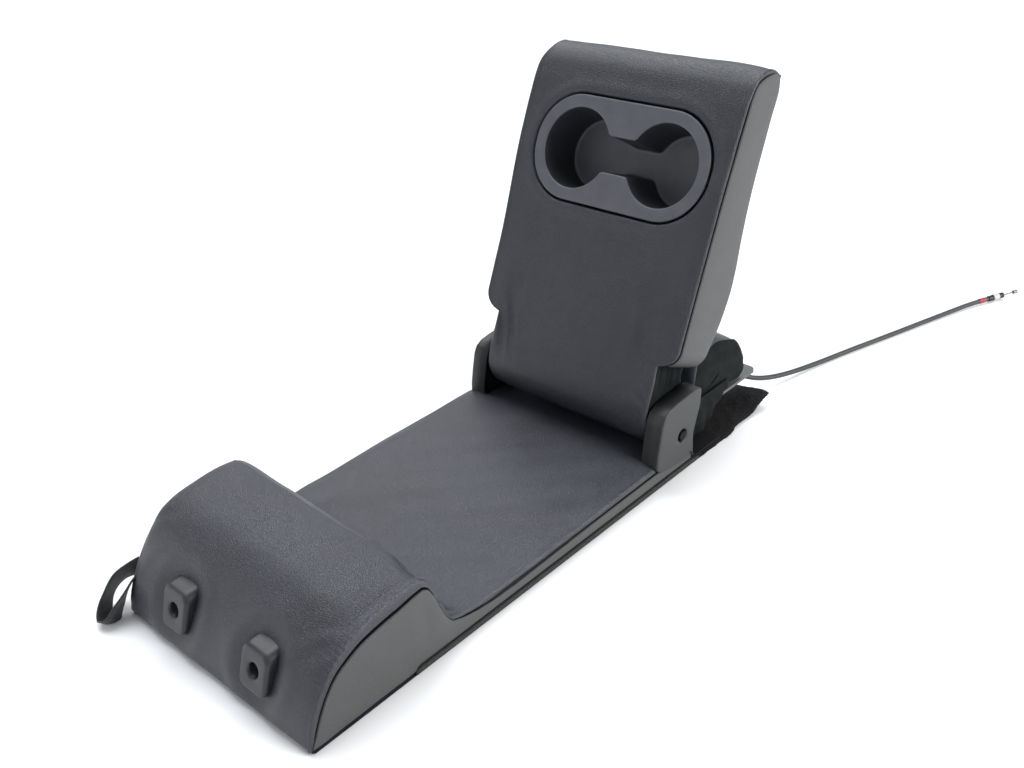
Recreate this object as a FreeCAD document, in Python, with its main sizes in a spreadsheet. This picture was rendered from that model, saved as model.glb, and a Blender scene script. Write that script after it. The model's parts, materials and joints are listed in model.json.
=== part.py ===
"""Centre section of a car's rear seat back with a fold-down armrest.

The part lies on its carpeted back, with the armrest folded out.
Millimetres, +Z up, +X across the seat, +Y from the headrest end to the hinge end.
The origin is the middle of the carpeted back, on the surface that it lies on.
"""
import FreeCAD, Part
import math
import os
from types import SimpleNamespace

import Sketcher
from FreeCAD import Vector

# Driving dimensions, each measured from the end, face or axis that its name gives
SIZES = {
    # seat back
    "seat_width": 250, "back_length": 480, "pad_height": 29, "pad_reach": 500,
    "cover_wall": 2, "fit_gap": 0.3, "seam_inset": 7, "edge_round": 8,
    "bolster_height": 93, "bolster_length": 137, "crown_start": 62, "crown_end": 133,
    "brow_height": 68, "brow_back": 32, "toe_height": 12, "brow_round": 26, "crown_round": 9,
    "carpet_start": 106, "carpet_wall": 6, "felt_wall": 3, "felt_past_flap": 12, "carpet_inset": 1.5,
    "pan_wall": 1.2, "pan_flange": 13, "pan_start": 14,
    "bead_height": 3, "bead_width": 22, "bead_pitch": 64, "bead_slope": 30, "bead_margin": 12,
    "hinge_notch": 20, "notch_start": 421,
    # headrest fittings
    "headrest_pitch": 109, "post_radius": 6, "post_height": 39, "guide_width": 34, "guide_height": 36,
    "guide_wall": 1.8, "guide_seat": 34, "guide_length": 80, "guide_lean": 12, "guide_proud": 1,
    "guide_round": 7, "guide_edge": 1.5, "tube_wall": 1.2, "tube_start": 38, "tube_end": 124,
    "beam_start": 94, "beam_depth": 26, "beam_height": 46, "beam_inset": 27, "beam_wall": 1.5,
    # armrest, measured from its pivot; widths follow the seat's
    "pivot_back": 466, "pivot_height": 66, "arm_lean": 25, "arm_overlap": 2, "neck_gap": 11,
    "arm_front": 36.4, "arm_length": 326, "tip_back": 14, "tip_drop": 9,
    "waist_back": 18, "waist_height": 225, "heel_back": 31, "heel_height": 128, "hip_back": 26, "hip_height": 86,
    "shoulder_height": 52, "shoulder_tuck": 10, "neck_radius": 34, "neck_rise": 8, "neck_front": 20, "neck_draft": 4,
    "tip_round": 15, "arm_round": 7, "arm_seam": 6,
    "hoop_radius": 6, "hoop_wall": 1.5, "hoop_top": 296, "hoop_inset": 12, "hoop_foot_inset": 10,
    "hoop_depth": -12, "hoop_knee": 14, "hoop_shoulder": 50,
    "axle_radius": 13, "axle_inset": 5, "bush_wall": 2, "bush_length": 18, "bolt_radius": 6, "bolt_head": 5,
    "run_gap": 0.05, "lug_height": 46, "lug_wall": 4, "lug_margin": 6,
    "pin_orbit": 15, "pin_radius": 3, "pin_gap": 0.5, "fold_angle": 114,
    # cup holder
    "bezel_width": 208, "bezel_height": 105, "bezel_rise": 2.4, "bezel_round": 46, "bezel_lap": 5,
    "cup_radius": 40, "cup_floor_radius": 36, "cup_pitch": 104, "cup_depth": 47, "cup_wall": 2,
    "channel_height": 35, "cup_centre": 224,
    # hinge brackets and their covers
    "bracket_wall": 3, "bracket_inset": 11, "bracket_foot": 24, "bracket_front": 30, "bracket_back": 14,
    "bracket_top": 18, "shroud_wall": 2, "shroud_start": 424, "shroud_top": 90, "shroud_end": 498, "shroud_foot": 9,
    "shroud_draft": 7, "shroud_brow": 22, "shroud_cheek": 14, "shroud_corner": 8, "shroud_tuck": 14,
    "shroud_waist": 52, "shroud_toe": 30, "shroud_round": 5, "shroud_edge": 2.5,
    "screw_back": 465, "screw_height": 44, "screw_radius": 2.5, "screw_head": 4.5, "screw_recess": 2.2,
    # lower end, which follows the pad
    "lobe_gap": 4, "lobe_length": 102, "lobe_rise": 44, "lobe_height": 115, "lobe_inset": 17, "lobe_underside": 42,
    "lobe_front_drop": 18, "lobe_brow_drop": 30, "lobe_nose": 14, "lobe_heel": 24,
    "lobe_front_round": 16, "lobe_peak_round": 30, "lobe_brow_round": 26, "lobe_nose_round": 10,
    "flap_wall": 3, "flap_lap": 4, "flap_reach": 20, "flap_round": 8,
    "pivot_tube_offset": 46, "pivot_tube_height": 24, "pivot_tube_radius": 11, "pivot_tube_bore": 8,
    "pivot_tube_inset": 22, "stay_wall": 4, "stay_inset": 8, "stay_foot": 16, "stay_shelf": 26,
    "tongue_reach": 30, "skirt_inset": 3, "skirt_top": 40, "skirt_foot": 16, "skirt_drop": 12,
    # strap and cable
    "strap_width": 20, "strap_wall": 1.6, "strap_reach": 64, "strap_loop": 30, "strap_back": 24,
    "strap_height": 40, "cable_radius": 2.8, "wire_radius": 0.9, "ferrule_radius": 3.6,
    "ferrule_length": 22, "collar_length": 8, "wire_length": 16, "nipple_radius": 2.4, "nipple_length": 6,
    "mark_length": 9, "mark_wall": 0.4, "mark_back": 14, "gland_length": 18, "gland_wall": 2.2,
}

doc = FreeCAD.newDocument("rear_armrest")
sheet = doc.addObject("Spreadsheet::Sheet", "Sizes")
for row, (name, number) in enumerate(SIZES.items(), start=1):
    sheet.set("A%d" % row, name)
    sheet.set("B%d" % row, str(number))
    sheet.setAlias("B%d" % row, name)
doc.recompute()


class Size:
    """A number together with the expression that drives it."""

    def __init__(self, value, text):
        self.value = float(value)
        self.text = text

    @staticmethod
    def of(item):
        return item if isinstance(item, Size) else Size(item, repr(float(item)))

    def __add__(self, other):
        other = Size.of(other)
        return Size(self.value + other.value, "(%s + %s)" % (self.text, other.text))

    def __sub__(self, other):
        other = Size.of(other)
        return Size(self.value - other.value, "(%s - %s)" % (self.text, other.text))

    def __mul__(self, other):
        other = Size.of(other)
        return Size(self.value * other.value, "(%s * %s)" % (self.text, other.text))

    def __truediv__(self, other):
        other = Size.of(other)
        return Size(self.value / other.value, "(%s / %s)" % (self.text, other.text))

    def __neg__(self):
        return Size(-self.value, "(-1 * %s)" % self.text)

    def __radd__(self, other):
        return Size.of(other) + self

    def __rsub__(self, other):
        return Size.of(other) - self

    def __rmul__(self, other):
        return Size.of(other) * self


s = SimpleNamespace(**{name: Size(getattr(sheet, name), "Sizes.%s" % name) for name in SIZES})
ZERO = Size.of(0)
head = -s.back_length / 2
half_seat = s.seat_width / 2
arm_half = half_seat + s.arm_overlap
plate_out = half_seat - s.bracket_inset
neck_half = plate_out - s.neck_gap
axle_half = neck_half - s.axle_inset
half_beam = half_seat - s.beam_inset
half_lobe = half_seat - s.lobe_inset
tube_half = half_lobe - s.pivot_tube_inset
carpet_top = s.carpet_wall + s.fit_gap
pan_top = carpet_top + s.pan_wall
pad_end = head + s.pad_reach
lobe_start = pad_end + s.lobe_gap
lobe_end = lobe_start + s.lobe_length
flap_end = lobe_end + s.flap_reach
subparts = []


def bind(target, prop, size):
    """Drive a property from the sheet."""
    target.setExpression(prop, Size.of(size).text)


def subpart(target, label):
    """Name a finished piece, which is written to its own file."""
    target.Label = label
    subparts.append(target)
    return target


def place(target, x=0, y=0, z=0, turn=0):
    """Place an object; turn is an angle about X, in degrees."""
    angle = Size.of(turn).value
    target.Placement = FreeCAD.Placement(Vector(0, 0, 0), FreeCAD.Rotation(Vector(1, 0, 0), angle))
    for axis, size in (("x", x), ("y", y), ("z", z)):
        bind(target, "Placement.Base." + axis, size)
    if angle:
        bind(target, "Placement.Rotation.Angle", turn)
    return target


def new_body(name, x=0, y=0, z=0, turn=0):
    return place(doc.addObject("PartDesign::Body", name), x, y, z, turn)


def plane_of(body, role):
    return [item for item in body.Origin.OriginFeatures if item.Role == role][0]


def new_sketch(body, name, role, lift=0):
    """A sketch on one of the body's own planes, lifted along that plane's normal."""
    drawn = body.newObject("Sketcher::SketchObject", name)
    drawn.AttachmentSupport = [(plane_of(body, role), "")]
    drawn.MapMode = "FlatFace"
    bind(drawn, "AttachmentOffset.Base.z", lift)
    return drawn


def polygon(body, name, role, corners, lift=0):
    """A closed outline of straight sides whose corners are all driven from the sheet."""
    drawn = new_sketch(body, name, role, lift)
    corners = [(Size.of(u), Size.of(v)) for u, v in corners]
    count = len(corners)
    for index in range(count):
        (u, v), (next_u, next_v) = corners[index], corners[(index + 1) % count]
        line = Part.LineSegment(Vector(u.value, v.value, 0), Vector(next_u.value, next_v.value, 0))
        drawn.addGeometry(line, False)
    for index in range(count):
        drawn.addConstraint(Sketcher.Constraint("Coincident", index, 2, (index + 1) % count, 1))
    for index, (u, v) in enumerate(corners):
        for kind, size in (("DistanceX", u), ("DistanceY", v)):
            spot = drawn.addConstraint(Sketcher.Constraint(kind, -1, 1, index, 1, size.value))
            drawn.setExpression("Constraints[%d]" % spot, size.text)
    return drawn


def circles(body, name, role, rounds, lift=0):
    """One sketch of circles, each given as centre u, centre v and radius."""
    drawn = new_sketch(body, name, role, lift)
    for index, sizes in enumerate(rounds):
        u, v, radius = [Size.of(size) for size in sizes]
        drawn.addGeometry(Part.Circle(Vector(u.value, v.value, 0), Vector(0, 0, 1), radius.value), False)
        drives = (("DistanceX", u), ("DistanceY", v))
        for kind, size in drives:
            spot = drawn.addConstraint(Sketcher.Constraint(kind, -1, 1, index, 3, size.value))
            drawn.setExpression("Constraints[%d]" % spot, size.text)
        spot = drawn.addConstraint(Sketcher.Constraint("Radius", index, radius.value))
        drawn.setExpression("Constraints[%d]" % spot, radius.text)
    return drawn


def grow(body, kind, drawn, length, symmetric=False, backwards=False, taper=None):
    """Pad or pocket a sketch."""
    feature = body.newObject("PartDesign::" + kind, kind.lower())
    feature.Profile = drawn
    feature.SideType = "Symmetric" if symmetric else "One side"
    feature.Reversed = backwards
    bind(feature, "Length", length)
    if taper is not None:
        bind(feature, "TaperAngle", taper)
    doc.recompute()
    return feature


def round_edges(body, radius, chosen):
    """Fillet the edges of the body's last feature that the test chooses."""
    tip = body.Tip
    names = ["Edge%d" % (index + 1) for index, edge in enumerate(tip.Shape.Edges) if chosen(edge)]
    fillet = body.newObject("PartDesign::Fillet", "fillet")
    fillet.Base = (tip, names)
    bind(fillet, "Radius", radius)
    doc.recompute()
    return fillet


def along_x_at(u, v):
    """Choose the edge parallel to X that passes through a corner of the outline."""
    corner = (Size.of(u).value, Size.of(v).value)

    def chosen(edge):
        ends = [vertex.Point for vertex in edge.Vertexes]
        if len(ends) != 2 or abs(ends[0].y - ends[1].y) + abs(ends[0].z - ends[1].z) > 1e-6:
            return False
        return math.hypot(ends[0].y - corner[0], ends[0].z - corner[1]) < 0.01

    return chosen


def box(name, low, high):
    """A box from its lowest to its highest corner."""
    low = [Size.of(size) for size in low]
    high = [Size.of(size) for size in high]
    block = doc.addObject("Part::Box", name)
    for prop, bottom, top in zip(("Length", "Width", "Height"), low, high):
        bind(block, prop, top - bottom)
    return place(block, *low)


def rod(name, start, axis, radius, length):
    """A round bar along X, Y or Z from its start."""
    bar = doc.addObject("Part::Cylinder", name)
    bind(bar, "Radius", radius)
    bind(bar, "Height", length)
    turns = {"x": FreeCAD.Rotation(Vector(0, 1, 0), 90), "y": FreeCAD.Rotation(Vector(1, 0, 0), -90),
             "z": FreeCAD.Rotation()}
    bar.Placement = FreeCAD.Placement(Vector(0, 0, 0), turns[axis])
    for letter, size in zip("xyz", start):
        bind(bar, "Placement.Base." + letter, size)
    return bar


def boolean(kind, name, base, tools):
    """Cut or intersect a base with one tool, or with several joined."""
    if len(tools) == 1:
        tool = tools[0]
    else:
        tool = doc.addObject("Part::MultiFuse", name + "_tool")
        tool.Shapes = tools
    result = doc.addObject("Part::" + kind, name)
    result.Base = base
    result.Tool = tool
    return result


def cut(name, base, *tools):
    return boolean("Cut", name, base, list(tools))


def common(name, base, tool):
    return boolean("Common", name, base, [tool])


def fuse(name, *shapes):
    result = doc.addObject("Part::MultiFuse", name)
    result.Shapes = list(shapes)
    result.Refine = True
    return result


def rounded_path(points, radius_of):
    """A wire of straight runs joined by tangent arcs; radius_of gives the arc at a corner."""
    points = [Vector(*point) for point in points]
    edges = []
    start = points[0]
    for before, corner, after in zip(points, points[1:], points[2:]):
        inward = (before - corner).normalize()
        outward = (after - corner).normalize()
        turn = math.pi - inward.getAngle(outward)
        radius = radius_of((before - corner).Length, (after - corner).Length, turn)
        reach = radius * math.tan(turn / 2)
        first, last = corner + inward * reach, corner + outward * reach
        middle = (inward + outward).normalize()
        mid = corner + middle * (radius / math.cos(turn / 2) - radius)
        edges.append(Part.LineSegment(start, first).toShape())
        edges.append(Part.Arc(first, mid, last).toShape())
        start = last
    edges.append(Part.LineSegment(start, points[-1]).toShape())
    return Part.Wire(edges)


def widest_bend(before, after, turn):
    """The widest arc that leaves a straight piece of both runs at a corner."""
    return 0.45 * min(before, after) / math.tan(turn / 2)


def tube_along(wire, radius, bore=0):
    """A round bar or tube carried along a wire."""
    first = wire.Edges[0]
    point = first.valueAt(first.FirstParameter)
    way = first.tangentAt(first.FirstParameter)
    solid = wire.makePipeShell([Part.Wire(Part.makeCircle(radius, point, way))], True, False)
    if bore:
        solid = solid.cut(wire.makePipeShell([Part.Wire(Part.makeCircle(bore, point, way))], True, False))
    return solid.Solids[0]


def shaped(label, shape):
    """A piece whose shape is set directly."""
    piece = doc.addObject("Part::Feature", label)
    piece.Shape = shape
    return subpart(piece, label)


# Seat back: foam, cover and side panels from one outline at three insets
def seat_form(name, inset, half_width, floor, step):
    """The bolster and pad as one solid, moved in by inset; step is the height of its rear underside."""
    body = new_body(name)
    inset = Size.of(inset)
    top = s.bolster_height - inset
    brow = (head + s.brow_back + inset * 0.75, s.brow_height - inset * 0.7)
    crown = (head + s.crown_end - inset, top)
    foot = (head + s.bolster_length - inset, s.pad_height - inset)
    corners = [
        (head + inset, floor), (head + inset, s.toe_height),
        brow, (head + s.crown_start, top), crown, foot,
        (pad_end - inset, s.pad_height - inset), (pad_end - inset, step),
    ]
    if step is not floor:
        corners += [(head + s.carpet_start - inset, step), (head + s.carpet_start - inset, floor)]
    grow(body, "Pad", polygon(body, name + "_outline", "YZ_Plane", corners), half_width * 2, symmetric=True)
    round_edges(body, s.brow_round, along_x_at(*brow))
    round_edges(body, s.crown_round, along_x_at(*crown))
    limit = half_width.value

    def upper_side(edge):
        """The rounded run along a side, without the underside, the carpet's step and the rear end."""
        box_of = edge.BoundBox
        if abs(abs(box_of.Center.x) - limit) > 1e-4 or box_of.XLength > 1e-4:
            return False
        if box_of.ZMax <= s.toe_height.value or box_of.ZMin <= floor.value + 1:
            return False
        if box_of.Center.y >= pad_end.value - 5:
            return False
        upright = box_of.YLength < 1e-4
        at_carpet = box_of.Center.y > (head + s.carpet_start).value - 9
        if upright and at_carpet and box_of.ZMax < s.pad_height.value - 3:
            return False
        level = box_of.ZLength < 1e-4
        return not (level and abs(box_of.ZMax - Size.of(step).value) < 1e-4)

    round_edges(body, s.edge_round - inset, upper_side)
    return body


def hinge_notch(name, side):
    """The space beside the pad's rear end that a hinge bracket stands in."""
    inner, outer = half_seat - s.hinge_notch, half_seat + 5
    low, high = (inner, outer) if side > 0 else (-outer, -inner)
    return box(name, (low, head + s.notch_start, -1), (high, pad_end + 5, s.pad_height + 5))


def seat_back():
    outer = seat_form("seat_outer", 0, half_seat, ZERO, carpet_top)
    inner = seat_form("seat_inner", s.cover_wall, half_seat - s.cover_wall, s.cover_wall, carpet_top - 2)
    open_half = half_seat - s.seam_inset
    underside = box("cover_opening", (-open_half, head + s.carpet_start - s.cover_wall, -1),
                    (open_half, pad_end + 5, carpet_top + s.cover_wall))
    notches = [hinge_notch("notch_right", 1), hinge_notch("notch_left", -1)]
    shell = cut("seat_shell", outer, inner, underside, *notches)
    seam = half_seat - s.seam_inset
    low_end, high_end = head - 10, pad_end + 10
    middle = box("cover_zone", (-seam, low_end, -5), (seam, high_end, s.bolster_height + 5))
    holes = [guide_hole("guide_hole_right", 1), guide_hole("guide_hole_left", -1)]
    subpart(cut("seat_cover", common("cover_blank", shell, middle), *holes), "seat_cover")
    for side, word in ((1, "right"), (-1, "left")):
        edges = (seam, half_seat + 5) if side > 0 else (-half_seat - 5, -seam)
        zone = box("side_zone_" + word, (edges[0], low_end, -5), (edges[1], high_end, s.bolster_height + 5))
        subpart(common("side_panel_" + word, shell, zone), "side_panel_" + word)
    back_pan()
    foam_inset = s.cover_wall + s.fit_gap
    foam_half = half_seat - foam_inset - s.pan_wall - s.fit_gap
    foam_floor = pan_top + s.bead_height + s.fit_gap
    foam = seat_form("foam_form", foam_inset, foam_half, foam_floor, foam_floor)
    beam_end = head + s.beam_start + s.beam_depth
    beam = box("beam_room", (-half_beam - s.fit_gap, head + s.beam_start - s.fit_gap, 0),
               (half_beam + s.fit_gap, beam_end + s.fit_gap, pan_top + s.beam_height + s.fit_gap))
    rooms = [beam]
    tube_radius = s.post_radius + s.guide_wall + s.fit_gap + s.tube_wall
    for side, word in ((1, "right"), (-1, "left")):
        x = s.headrest_pitch / 2 * side
        rooms.append(rod("tube_room_" + word, (x, head - 5, s.post_height), "y", tube_radius + s.fit_gap,
                         s.tube_end + s.fit_gap + 5))
        rooms.append(guide_hole("guide_room_" + word, side))
    inner_notches = [hinge_notch("foam_notch_right", 1), hinge_notch("foam_notch_left", -1)]
    subpart(cut("seat_foam", foam, *rooms, *inner_notches), "seat_foam")


def guide_hole(name, side):
    """The square hole in cover and foam that a headrest guide's head sits in."""
    x = s.headrest_pitch / 2 * side
    half = s.guide_width / 2 + s.fit_gap
    low = s.post_height - s.guide_height / 2 - s.fit_gap
    return box(name, (x - half, head - 10, low),
               (x + half, head + s.guide_seat + s.fit_gap, s.post_height + s.guide_height / 2 + s.fit_gap))


def back_pan():
    """The pressed steel back: a shallow tray with three stiffening beads."""
    body = new_body("back_pan")
    floor = carpet_top
    half = half_seat - s.cover_wall - s.fit_gap
    start, end = head + s.pan_start, lobe_start + s.tongue_reach
    outline = [(-half, start), (half, start), (half, end), (-half, end)]
    grow(body, "Pad", polygon(body, "pan_outline", "XY_Plane", outline, floor), s.pan_flange)
    wall = s.pan_wall
    well = [(-half + wall, start - 1), (half - wall, start - 1), (half - wall, end + 1), (-half + wall, end + 1)]
    well_sketch = polygon(body, "pan_well", "XY_Plane", well, floor + s.pan_flange)
    grow(body, "Pocket", well_sketch, s.pan_flange - wall)
    bead_start = head + s.bolster_length + s.bead_margin
    bead_end = head + s.notch_start - s.bead_margin
    for index, word in ((-1, "left"), (0, "middle"), (1, "right")):
        x = s.bead_pitch * index
        half_bead = s.bead_width / 2
        bead = [(x - half_bead, bead_start), (x + half_bead, bead_start),
                (x + half_bead, bead_end), (x - half_bead, bead_end)]
        top = polygon(body, "bead_" + word, "XY_Plane", bead, floor + wall)
        grow(body, "Pad", top, s.bead_height, taper=-s.bead_slope)
        left, right = x - half_bead + wall, x + half_bead - wall
        front, back = bead_start + wall, bead_end - wall
        hollow = [(left, front), (right, front), (right, back), (left, back)]
        below = polygon(body, "bead_hollow_" + word, "XY_Plane", hollow, floor)
        grow(body, "Pocket", below, s.bead_height, backwards=True, taper=-s.bead_slope)
    corner_cuts(body, half)
    subpart(body, "back_pan")


def corner_cuts(body, half):
    """Cut the pan's flange away where the hinge brackets bolt down."""
    inner = half - s.pan_wall - 0.5
    for side, word in ((1, "right"), (-1, "left")):
        u_low, u_high = (inner, half + 5) if side > 0 else (-half - 5, -inner)
        start, end = head + s.notch_start, lobe_start + s.tongue_reach + 5
        outline = [(u_low, start), (u_high, start), (u_high, end), (u_low, end)]
        drawn = polygon(body, "flange_cut_" + word, "XY_Plane", outline, carpet_top + s.pan_flange + 1)
        grow(body, "Pocket", drawn, s.pan_flange + 1 - s.pan_wall)


def carpet():
    """The carpeted back board, which runs on as a loose felt flap past the hinge end."""
    body = new_body("carpet_back")
    start, end = head + s.carpet_start, head + s.back_length
    tail = flap_end + s.felt_past_flap
    outline = [(start, ZERO), (tail, ZERO), (tail, s.felt_wall), (end + 6, s.felt_wall), (end, s.carpet_wall),
               (start, s.carpet_wall)]
    width = (half_seat - s.carpet_inset) * 2
    grow(body, "Pad", polygon(body, "carpet_section", "YZ_Plane", outline), width, symmetric=True)
    subpart(body, "carpet_back")


# Headrest fittings in the bolster
def headrest_fittings():
    sleeve = s.post_radius + s.guide_wall
    tube_bore = sleeve + s.fit_gap
    tube_radius = tube_bore + s.tube_wall
    beam_end = head + s.beam_start + s.beam_depth
    block = box("beam_block", (-half_beam, head + s.beam_start, pan_top),
                (half_beam, beam_end, pan_top + s.beam_height))
    hollow = box("beam_hollow", (-half_beam - 1, head + s.beam_start + s.beam_wall, pan_top - 1),
                 (half_beam + 1, beam_end - s.beam_wall, pan_top + s.beam_height - s.beam_wall))
    passages = []
    for side, word in ((1, "right"), (-1, "left")):
        x = s.headrest_pitch / 2 * side
        passages.append(rod("beam_hole_" + word, (x, head + s.beam_start - 5, s.post_height), "y",
                            tube_radius + 0.05, s.beam_depth + 10))
        outside = rod("tube_outside_" + word, (x, head + s.tube_start, s.post_height), "y", tube_radius,
                      s.tube_end - s.tube_start)
        inside = rod("tube_inside_" + word, (x, head + s.tube_start - 1, s.post_height), "y", tube_bore,
                     s.tube_end - s.tube_start + 2)
        subpart(cut("headrest_tube_" + word, outside, inside), "headrest_tube_" + word)
        headrest_guide(word, x, sleeve)
    subpart(cut("headrest_beam", block, hollow, *passages), "headrest_beam")


def headrest_guide(word, x, sleeve):
    """A moulded guide: a wedge-shaped head proud of the slanted cover, and a sleeve in the tube."""
    body = new_body("headrest_guide_" + word, x=x)
    low = s.post_height - s.guide_height / 2
    high = s.post_height + s.guide_height / 2
    face = head - s.guide_proud
    section = [(face, low), (face + s.guide_lean, high), (head + s.guide_seat, high), (head + s.guide_seat, low)]
    grow(body, "Pad", polygon(body, "guide_section", "YZ_Plane", section), s.guide_width, symmetric=True)
    round_edges(body, s.guide_round, lambda edge: edge.BoundBox.YLength > 15 and edge.BoundBox.XLength < 1e-4)
    front = (face + s.guide_lean).value + 0.01
    round_edges(body, s.guide_edge, lambda edge: edge.BoundBox.YMax < front)
    stem = circles(body, "guide_stem", "XZ_Plane", [(ZERO, s.post_height, sleeve)], -(head + s.guide_seat - 1))
    grow(body, "Pad", stem, s.guide_length - s.guide_seat + 1, backwards=True)
    bore = circles(body, "guide_bore", "XZ_Plane", [(ZERO, s.post_height, s.post_radius)], -(head - 5))
    grow(body, "Pocket", bore, s.guide_length + 10)
    subpart(body, "headrest_guide_" + word)


# Armrest: its own frame has the pivot as origin, Z along the armrest and Y from front face to back
pivot_y = head + s.pivot_back
pivot_z = s.pivot_height


def arm_body(name):
    return new_body(name, y=pivot_y, z=pivot_z, turn=-s.arm_lean)


def arm_form(name, inset):
    """The armrest's outside, moved in by inset: a tapered block on a narrower, round-ended neck."""
    body = arm_body(name)
    inset = Size.of(inset)
    front = -s.arm_front + inset
    tip = s.arm_length - inset
    front_tip = (front, tip)
    back_tip = (s.tip_back - inset, s.arm_length - s.tip_drop - inset)
    block = [
        (front, s.shoulder_height + inset), front_tip, back_tip, (s.waist_back - inset, s.waist_height),
        (s.heel_back - inset, s.heel_height), (s.hip_back - inset, s.hip_height),
        (s.hip_back - s.shoulder_tuck, s.shoulder_height + inset),
    ]
    half = arm_half - inset
    grow(body, "Pad", polygon(body, name + "_block", "YZ_Plane", block), half * 2, symmetric=True)
    round_edges(body, s.tip_round - inset, along_x_at(*front_tip))
    round_edges(body, s.tip_round - inset, along_x_at(*back_tip))
    limit = half.value

    def side_edge(edge):
        box_of = edge.BoundBox
        return abs(abs(box_of.Center.x) - limit) < 1e-4 and box_of.XLength < 1e-4

    round_edges(body, s.arm_round - inset, side_edge)
    neck_width = (neck_half - inset) * 2
    radius = s.neck_radius - inset
    neck_top = s.shoulder_height + s.neck_rise
    neck = [(front, neck_top), (front, s.shoulder_height - s.neck_front), (front + s.neck_draft, ZERO),
            (radius * 0.6, ZERO), (s.hip_back - s.shoulder_tuck - 2, neck_top)]
    grow(body, "Pad", polygon(body, name + "_neck", "YZ_Plane", neck), neck_width, symmetric=True)
    knuckle = circles(body, name + "_knuckle", "YZ_Plane", [(ZERO, ZERO, radius)])
    grow(body, "Pad", knuckle, neck_width, symmetric=True)
    return body


def arm_box(name, low, high):
    """A box in the armrest's own frame."""
    body = arm_body(name)
    outline = [(low[0], low[1]), (high[0], low[1]), (high[0], high[1]), (low[0], high[1])]
    drawn = polygon(body, name + "_outline", "XY_Plane", outline, low[2])
    grow(body, "Pad", drawn, Size.of(high[2]) - low[2])
    return body


def arm_rod(name, x_start, x_end, radius, y=0, z=0):
    """A round bar along X in the armrest's own frame."""
    body = arm_body(name)
    drawn = circles(body, name + "_round", "YZ_Plane", [(y, z, radius)], x_start)
    grow(body, "Pad", drawn, Size.of(x_end) - x_start)
    return body


def cup_cutter(name, spread, depth):
    """The room for the cup holder's body below its bezel."""
    body = arm_body(name)
    half_w = s.bezel_width / 2 - s.bezel_lap + spread
    half_h = s.bezel_height / 2 - s.bezel_lap + spread
    low, high = s.cup_centre - half_h, s.cup_centre + half_h
    outline = [(-half_w, low), (half_w, low), (half_w, high), (-half_w, high)]
    drawn = polygon(body, name + "_outline", "XZ_Plane", outline, s.arm_front + 5)
    grow(body, "Pad", drawn, depth + 5, backwards=True)
    corner = s.bezel_round - s.bezel_lap + spread
    round_edges(body, corner, lambda edge: edge.BoundBox.YLength > 5 and edge.BoundBox.XLength < 1e-4)
    return body


def armrest():
    outer = arm_form("arm_outer", 0)
    inner = arm_form("arm_inner", s.cover_wall)
    foam_form = arm_form("arm_foam_form", s.cover_wall + s.fit_gap)
    room = s.bolt_radius + 4
    reach = arm_half * 2
    bolt_path = arm_rod("arm_bolt_path", -reach, reach, room)
    slot_paths = [pin_path("pin_path_right", 1), pin_path("pin_path_left", -1)]
    cup_room = cup_cutter("cover_cup_room", s.fit_gap, s.cover_wall + 3)
    shell = cut("arm_shell", outer, inner, cup_room, bolt_path, *slot_paths)
    seam = arm_half - s.arm_seam
    clear = 20
    top, bottom, deep = s.arm_length + clear, -s.neck_radius - clear, s.arm_front + clear * 2
    neck_seam = neck_half - s.arm_seam
    base_top = s.shoulder_height - s.cover_wall
    band = arm_box("cover_band", (-seam, -deep, base_top), (seam, deep, top))
    neck_band = arm_box("neck_band", (-neck_seam, -deep, bottom), (neck_seam, deep, base_top))
    zone = fuse("arm_cover_zone", band, neck_band)
    subpart(common("armrest_cover", shell, zone), "armrest_cover")
    for side, word in ((1, "right"), (-1, "left")):
        low, high = (seam, reach) if side > 0 else (-reach, -seam)
        panel = arm_box("arm_side_zone_" + word, (low, -deep, base_top), (high, deep, top))
        subpart(common("armrest_side_" + word, shell, panel), "armrest_side_" + word)
        low, high = (neck_seam, reach) if side > 0 else (-reach, -neck_seam)
        cloth = arm_box("neck_zone_" + word, (low, -deep, bottom), (high, deep, base_top))
        subpart(common("neck_cloth_" + word, shell, cloth), "neck_cloth_" + word)
    frame_room = arm_rod("axle_room", -reach, reach, s.axle_radius + s.fit_gap)
    hoop_room = doc.addObject("Part::Feature", "hoop_room")
    hoop_room.Shape = hoop_shape(s.hoop_radius.value + s.fit_gap.value, 0)
    hoop_room.Placement = arm_placement()
    rooms = [cup_cutter("foam_cup_room", s.fit_gap, s.cup_depth + s.cup_wall + s.fit_gap), frame_room, hoop_room]
    for side, word in ((1, "right"), (-1, "left")):
        rooms.append(lug_plate("lug_room_" + word, side, s.fit_gap))
        rooms.append(pin_path("foam_pin_path_" + word, side))
    subpart(cut("armrest_foam", foam_form, *rooms), "armrest_foam")
    cup_holder()
    arm_frame()


def arm_placement():
    return FreeCAD.Placement(Vector(0, pivot_y.value, pivot_z.value),
                             FreeCAD.Rotation(Vector(1, 0, 0), -s.arm_lean.value))


def hoop_shape(radius, bore):
    """The bent tube inside the armrest: up from the axle, outwards and across under the tip."""
    foot, half = (axle_half - s.hoop_foot_inset).value, (arm_half - s.hoop_inset).value
    top, depth = s.hoop_top.value, s.hoop_depth.value
    knee = (s.shoulder_height + s.hoop_knee).value
    shoulder = (s.shoulder_height + s.hoop_shoulder).value
    start = math.sqrt(s.axle_radius.value ** 2 - depth ** 2) + 1
    side = [(foot, depth, start), (foot, depth, knee), (half, depth, shoulder), (half, depth, top)]
    route = [(-x, y, z) for x, y, z in side] + side[::-1]
    widest = 3 * s.hoop_radius.value

    def bend(before, after, turn):
        return min(widest, widest_bend(before, after, turn))

    return tube_along(rounded_path(route, bend), radius, bore)


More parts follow.
